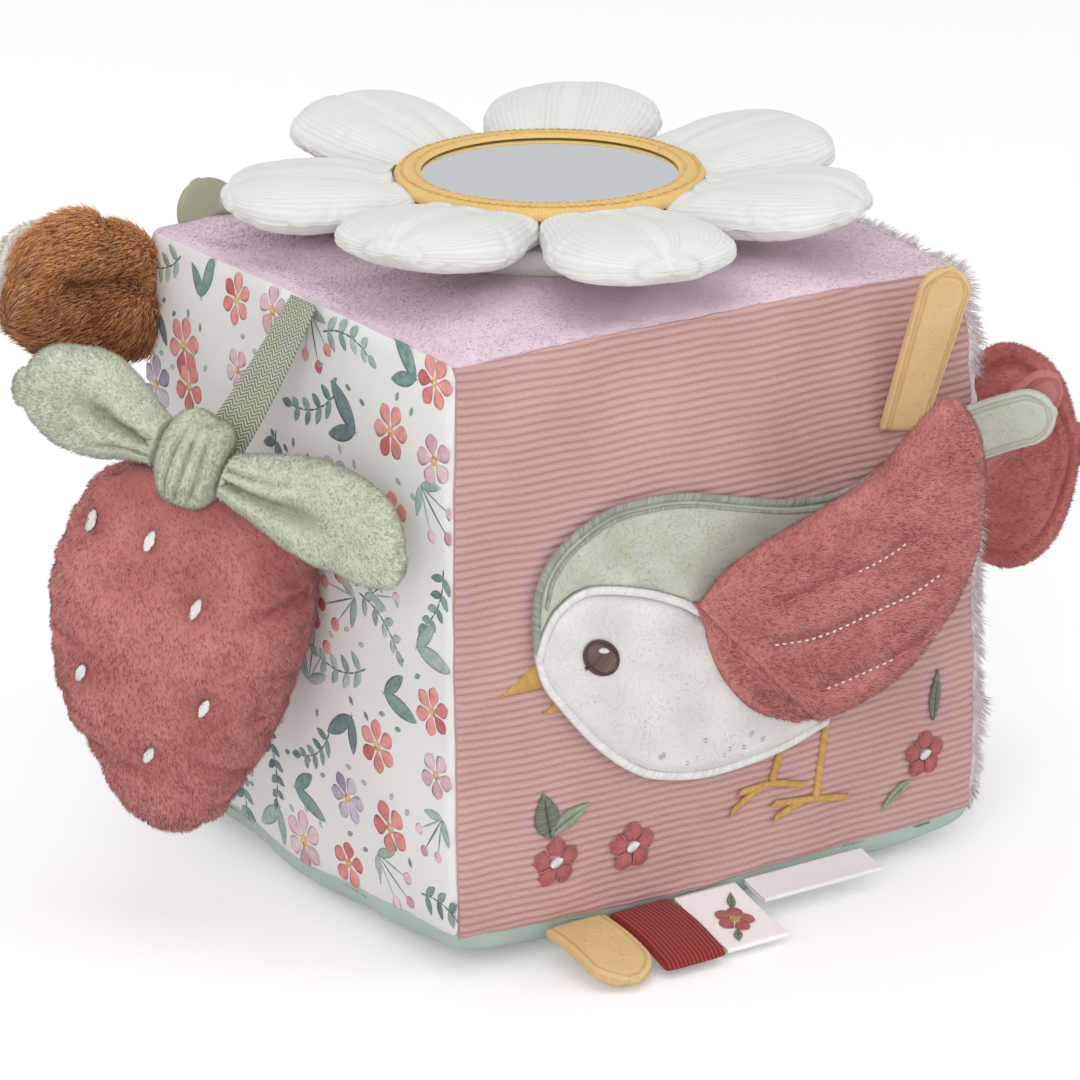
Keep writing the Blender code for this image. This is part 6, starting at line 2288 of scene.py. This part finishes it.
        # Painted shade and light: darker in the fold and the notch, painted light towards the top, and a
        # little lighter towards the tip; the fibres take the same painted shading.
        painted_shading = np.clip(0.42 + 0.05 * push / MM + 0.30 * over + 0.12 * (along - 0.5), 0, 1)
        piece.bag(points, BROWN, tone=painted_shading)
        Pile(12500, 4.4 * MM, 0.50 * MM, 1.3, 0.55, 62, True).grow(
            piece, points, BROWN, unit(reach) - 0.5 * UP, wrap=True, flip=True, painted_shading=painted_shading
        )
        piece.build("brush", ["brush_front"], 0.5)
        spine = spine + (self.brush_depth / 2 + self.lining_depth / 2 + self.cube.seam_gap) * BEHIND
        points, *_ = Blade(
            spine[:54] - 2 * MM * UP, UP, self.brush_width, self.lining_depth, widths[:54] * 0.80,
            np.ones(54), 80, 0.85, -RIGHT, tip_bulge=1.5 * MM,
        ).shape()
        piece = Piece("brush_lining_fur")
        piece.bag(points, CREAM_FUR)
        pile = Pile(8000, 2.0 * MM, 0.34 * MM, 1.3, 0.4, 63)
        pile.grow(piece, points, CREAM_FUR, reach, wrap=True, flip=True)
        piece.build("brush", ["brush_lining"], 0.3)

    def leaf_tab(self) -> None:
        """The small leaf that stands up from the back seam of the top."""
        root = self.cube.puffed(BEHIND + UP - 2 * 0.375 * RIGHT) + self.cube.middle - 0.5 * MM * (UP + BEHIND)
        reach, across = self.leaf_reach * unit(UP + BEHIND / 3 - 0.3 * RIGHT), unit(RIGHT - 0.3 * UP)
        piece = self.tab(
            "leaf_tab_cloth", root, UP, reach, (RIGHT, across), self.leaf_width, self.leaf_depth, OLIVE
        )
        piece.build("leaf_tab", ["leaf_tab"], 0.3)

    def side_flap(self) -> None:
        """The stuffed flap on the fleece face, with a channel beside its outer edge."""
        p, q = -0.360 * self.cube.depth, 0.100 * self.cube.height
        lift = self.flap_depth + 2 * self.cube.seam_gap
        root = self.cube.on(Side.RIGHT, p, q, lift)
        high, low = (self.cube.on(Side.RIGHT, p, q + side * 0.031, lift) for side in (1, -1))
        along_face = unit(high - low)
        reach = self.flap_reach * unit(RIGHT - 0.30 * BEHIND + 0.08 * UP)
        places = np.linspace(0, 1, 70)
        widths = share_at((
            (0.0, 0.80), (0.15, 0.92), (0.40, 1.0), (0.65, 0.90), (0.84, 0.66), (0.95, 0.40), (1.0, 0.20),
        ), places)
        depths = share_at((
            (0.0, 0.55), (0.05, 0.70), (0.35, 1.0), (0.70, 0.96), (0.90, 0.66), (1.0, 0.30),
        ), places)
        points, over, under, along = Blade(
            root + places[:, None] * reach - 1.5 * MM * along_face, along_face,
            self.flap_width, self.flap_depth, widths, depths, 150, 0.8,
            np.cross(BEHIND, along_face), tip_bulge=2 * MM,
        ).shape()
        rim = np.hypot(np.abs(over), np.clip(along, 0, 1) ** 2)
        channel = bell(rim - 0.86, 0.05) + 0.5 * bell(rim - 0.62, 0.05)
        push = -1.1 * MM * channel * ramp(np.abs(under), 0.1, 0.4) + 0.4 * MM * ripple(points, 0.018, 71)
        points = pushed(points, push)
        piece = Piece("side_flap_plush")
        # Painted shade: darker in the channels, lighter where the cloth bulges.
        piece.bag(points, DEEP_CORAL, tone=np.clip(0.45 + 0.14 * push / MM, 0.05, 1))
        pile = Pile(15000, 1.15 * MM, 0.25 * MM, 1.5, 0.22, 72)
        pile.grow(piece, points, DEEP_CORAL, reach, wrap=True, flip=True)
        piece.build("side_flap", ["side_flap"], 0.6)

    def build(self) -> None:
        """Makes all of them."""
        self.feathers()
        self.ribbons()
        self.brush()
        self.leaf_tab()
        self.side_flap()


# ------- the room


@dataclass
class Studio:
    """The pale floor, the soft light and the camera."""

    camera_at: tuple[float, float, float] = (-0.6584, -0.9757, 0.4837)
    azimuth: float = math.radians(-33.9)
    elevation: float = math.radians(19.2)
    lens: float = 173.3

    def floor(self) -> None:
        """A wide white floor that the camera sees at full white where nothing shades it."""
        piece = Piece("floor")
        corners = np.array([[(-6, -6, 0), (-6, 6, 0)], [(6, -6, 0), (6, 6, 0)]], float) - 0.2 * MM * UP
        piece.grid(corners, FELT)
        made = piece.build("")
        make = Recipe("floor_paper")
        ray = make.node("LightPath").outputs
        seen = make.sum("MAXIMUM", ray["Is Camera Ray"], ray["Is Glossy Ray"])
        seen = make.sum("MAXIMUM", seen, ray["Is Transmission Ray"])
        paper = make.node("BsdfDiffuse", {"Color": (0.90, 0.90, 0.90, 1)})
        glow = make.node("Emission", {"Color": (1, 1, 1, 1), "Strength": make.sum("MULTIPLY", seen, 0.22)})
        both = make.node("AddShader", {0: paper.outputs[0], 1: glow.outputs[0]})
        make.node("OutputMaterial", {0: both.outputs[0]})
        made.data.materials.clear()
        made.data.materials.append(make.material)

    def lights(self) -> None:
        """A low soft lamp on the left, weaker ones on the right, above and behind, and a pale world."""
        for name, place, size, power in (
            ("key", (-1.35, -1.4, 0.85), 1.2, 15.5), ("fill", (1.5, -1.4, 0.8), 1.2, 8.0),
            ("top", (-0.2, -0.4, 1.9), 1.4, 6.0), ("back", (-0.9, 1.6, 1.3), 1.2, 5.0),
        ):
            lamp = bpy.data.lights.new(name, "AREA")
            lamp.energy, lamp.size = power, size
            made = bpy.data.objects.new(name, lamp)
            made.location = place
            made.rotation_mode = "QUATERNION"
            made.rotation_quaternion = (Vector((0, 0, 0.08)) - Vector(place)).to_track_quat("-Z", "Y")
            bpy.context.scene.collection.objects.link(made)
        world = bpy.data.worlds.new("pale_room")
        bpy.context.scene.world = world
        world.use_nodes = True
        tree = world.node_tree
        ray = tree.nodes.new("ShaderNodeLightPath").outputs["Is Camera Ray"]
        strength = tree.nodes.new("ShaderNodeMapRange")
        tree.links.new(ray, strength.inputs["Value"])
        strength.inputs["To Min"].default_value = 0.61
        strength.inputs["To Max"].default_value = 1.0
        shader = tree.nodes["Background"]
        shader.inputs["Color"].default_value = (1, 1, 1, 1)
        tree.links.new(strength.outputs["Result"], shader.inputs["Strength"])

    def camera(self) -> None:
        """The photograph's viewpoint."""
        data = bpy.data.cameras.new("camera")
        data.lens, data.sensor_width = self.lens, 36.0
        data.clip_start, data.clip_end = 0.05, 60.0
        made = bpy.data.objects.new("camera", data)
        az, el = self.azimuth, self.elevation
        back = Vector((math.sin(az) * math.cos(el), -math.cos(az) * math.cos(el), math.sin(el)))
        made.location = self.camera_at
        made.rotation_mode = "QUATERNION"
        made.rotation_quaternion = (-back).to_track_quat("-Z", "Y")
        bpy.context.scene.collection.objects.link(made)
        bpy.context.scene.camera = made
        bpy.context.scene.view_settings.view_transform = "Standard"

    def build(self) -> None:
        """Sets up the room."""
        self.camera()
        self.floor()
        self.lights()


def dress_hidden(nodes: dict[str, bpy.types.Object]) -> None:
    """Gives the nodes that stay their own finish: the filling, the rattle, the film and the mirror.

    Args:
        nodes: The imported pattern's objects by name.
    """
    finishes = {
        "foam_lower": FOAM, "foam_upper": FOAM, "rattle_cup": SHELL, "rattle_cap": SHELL, "rattle_ball": BALL,
        "crinkle_film": FILM, "mirror_disc": MIRROR,
    }
    for name, finish in finishes.items():
        mesh = nodes[name].data
        mesh.materials.clear()
        mesh.materials.append(finish.material())
        tone = mesh.attributes.get("tone") or mesh.attributes.new("tone", "FLOAT", "POINT")
        tone.data.foreach_set("value", np.full(len(mesh.vertices), 0.5, np.float32))
        log.info("%s keeps its mesh in %s", name, finish.name)


def main() -> None:
    """Builds the room and the toy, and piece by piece."""
    logging.basicConfig(level=logging.INFO, format="%(name)s: %(message)s")
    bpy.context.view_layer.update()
    Studio().build()
    cube = StuffedCube()
    dress_hidden(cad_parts)
    for part in (Cover(cube), Daisy(cube), Strawberry(cube), Bird(cube), Wing(cube), LoosePieces(cube)):
        part.build()


if __name__ == "__main__":
    main()
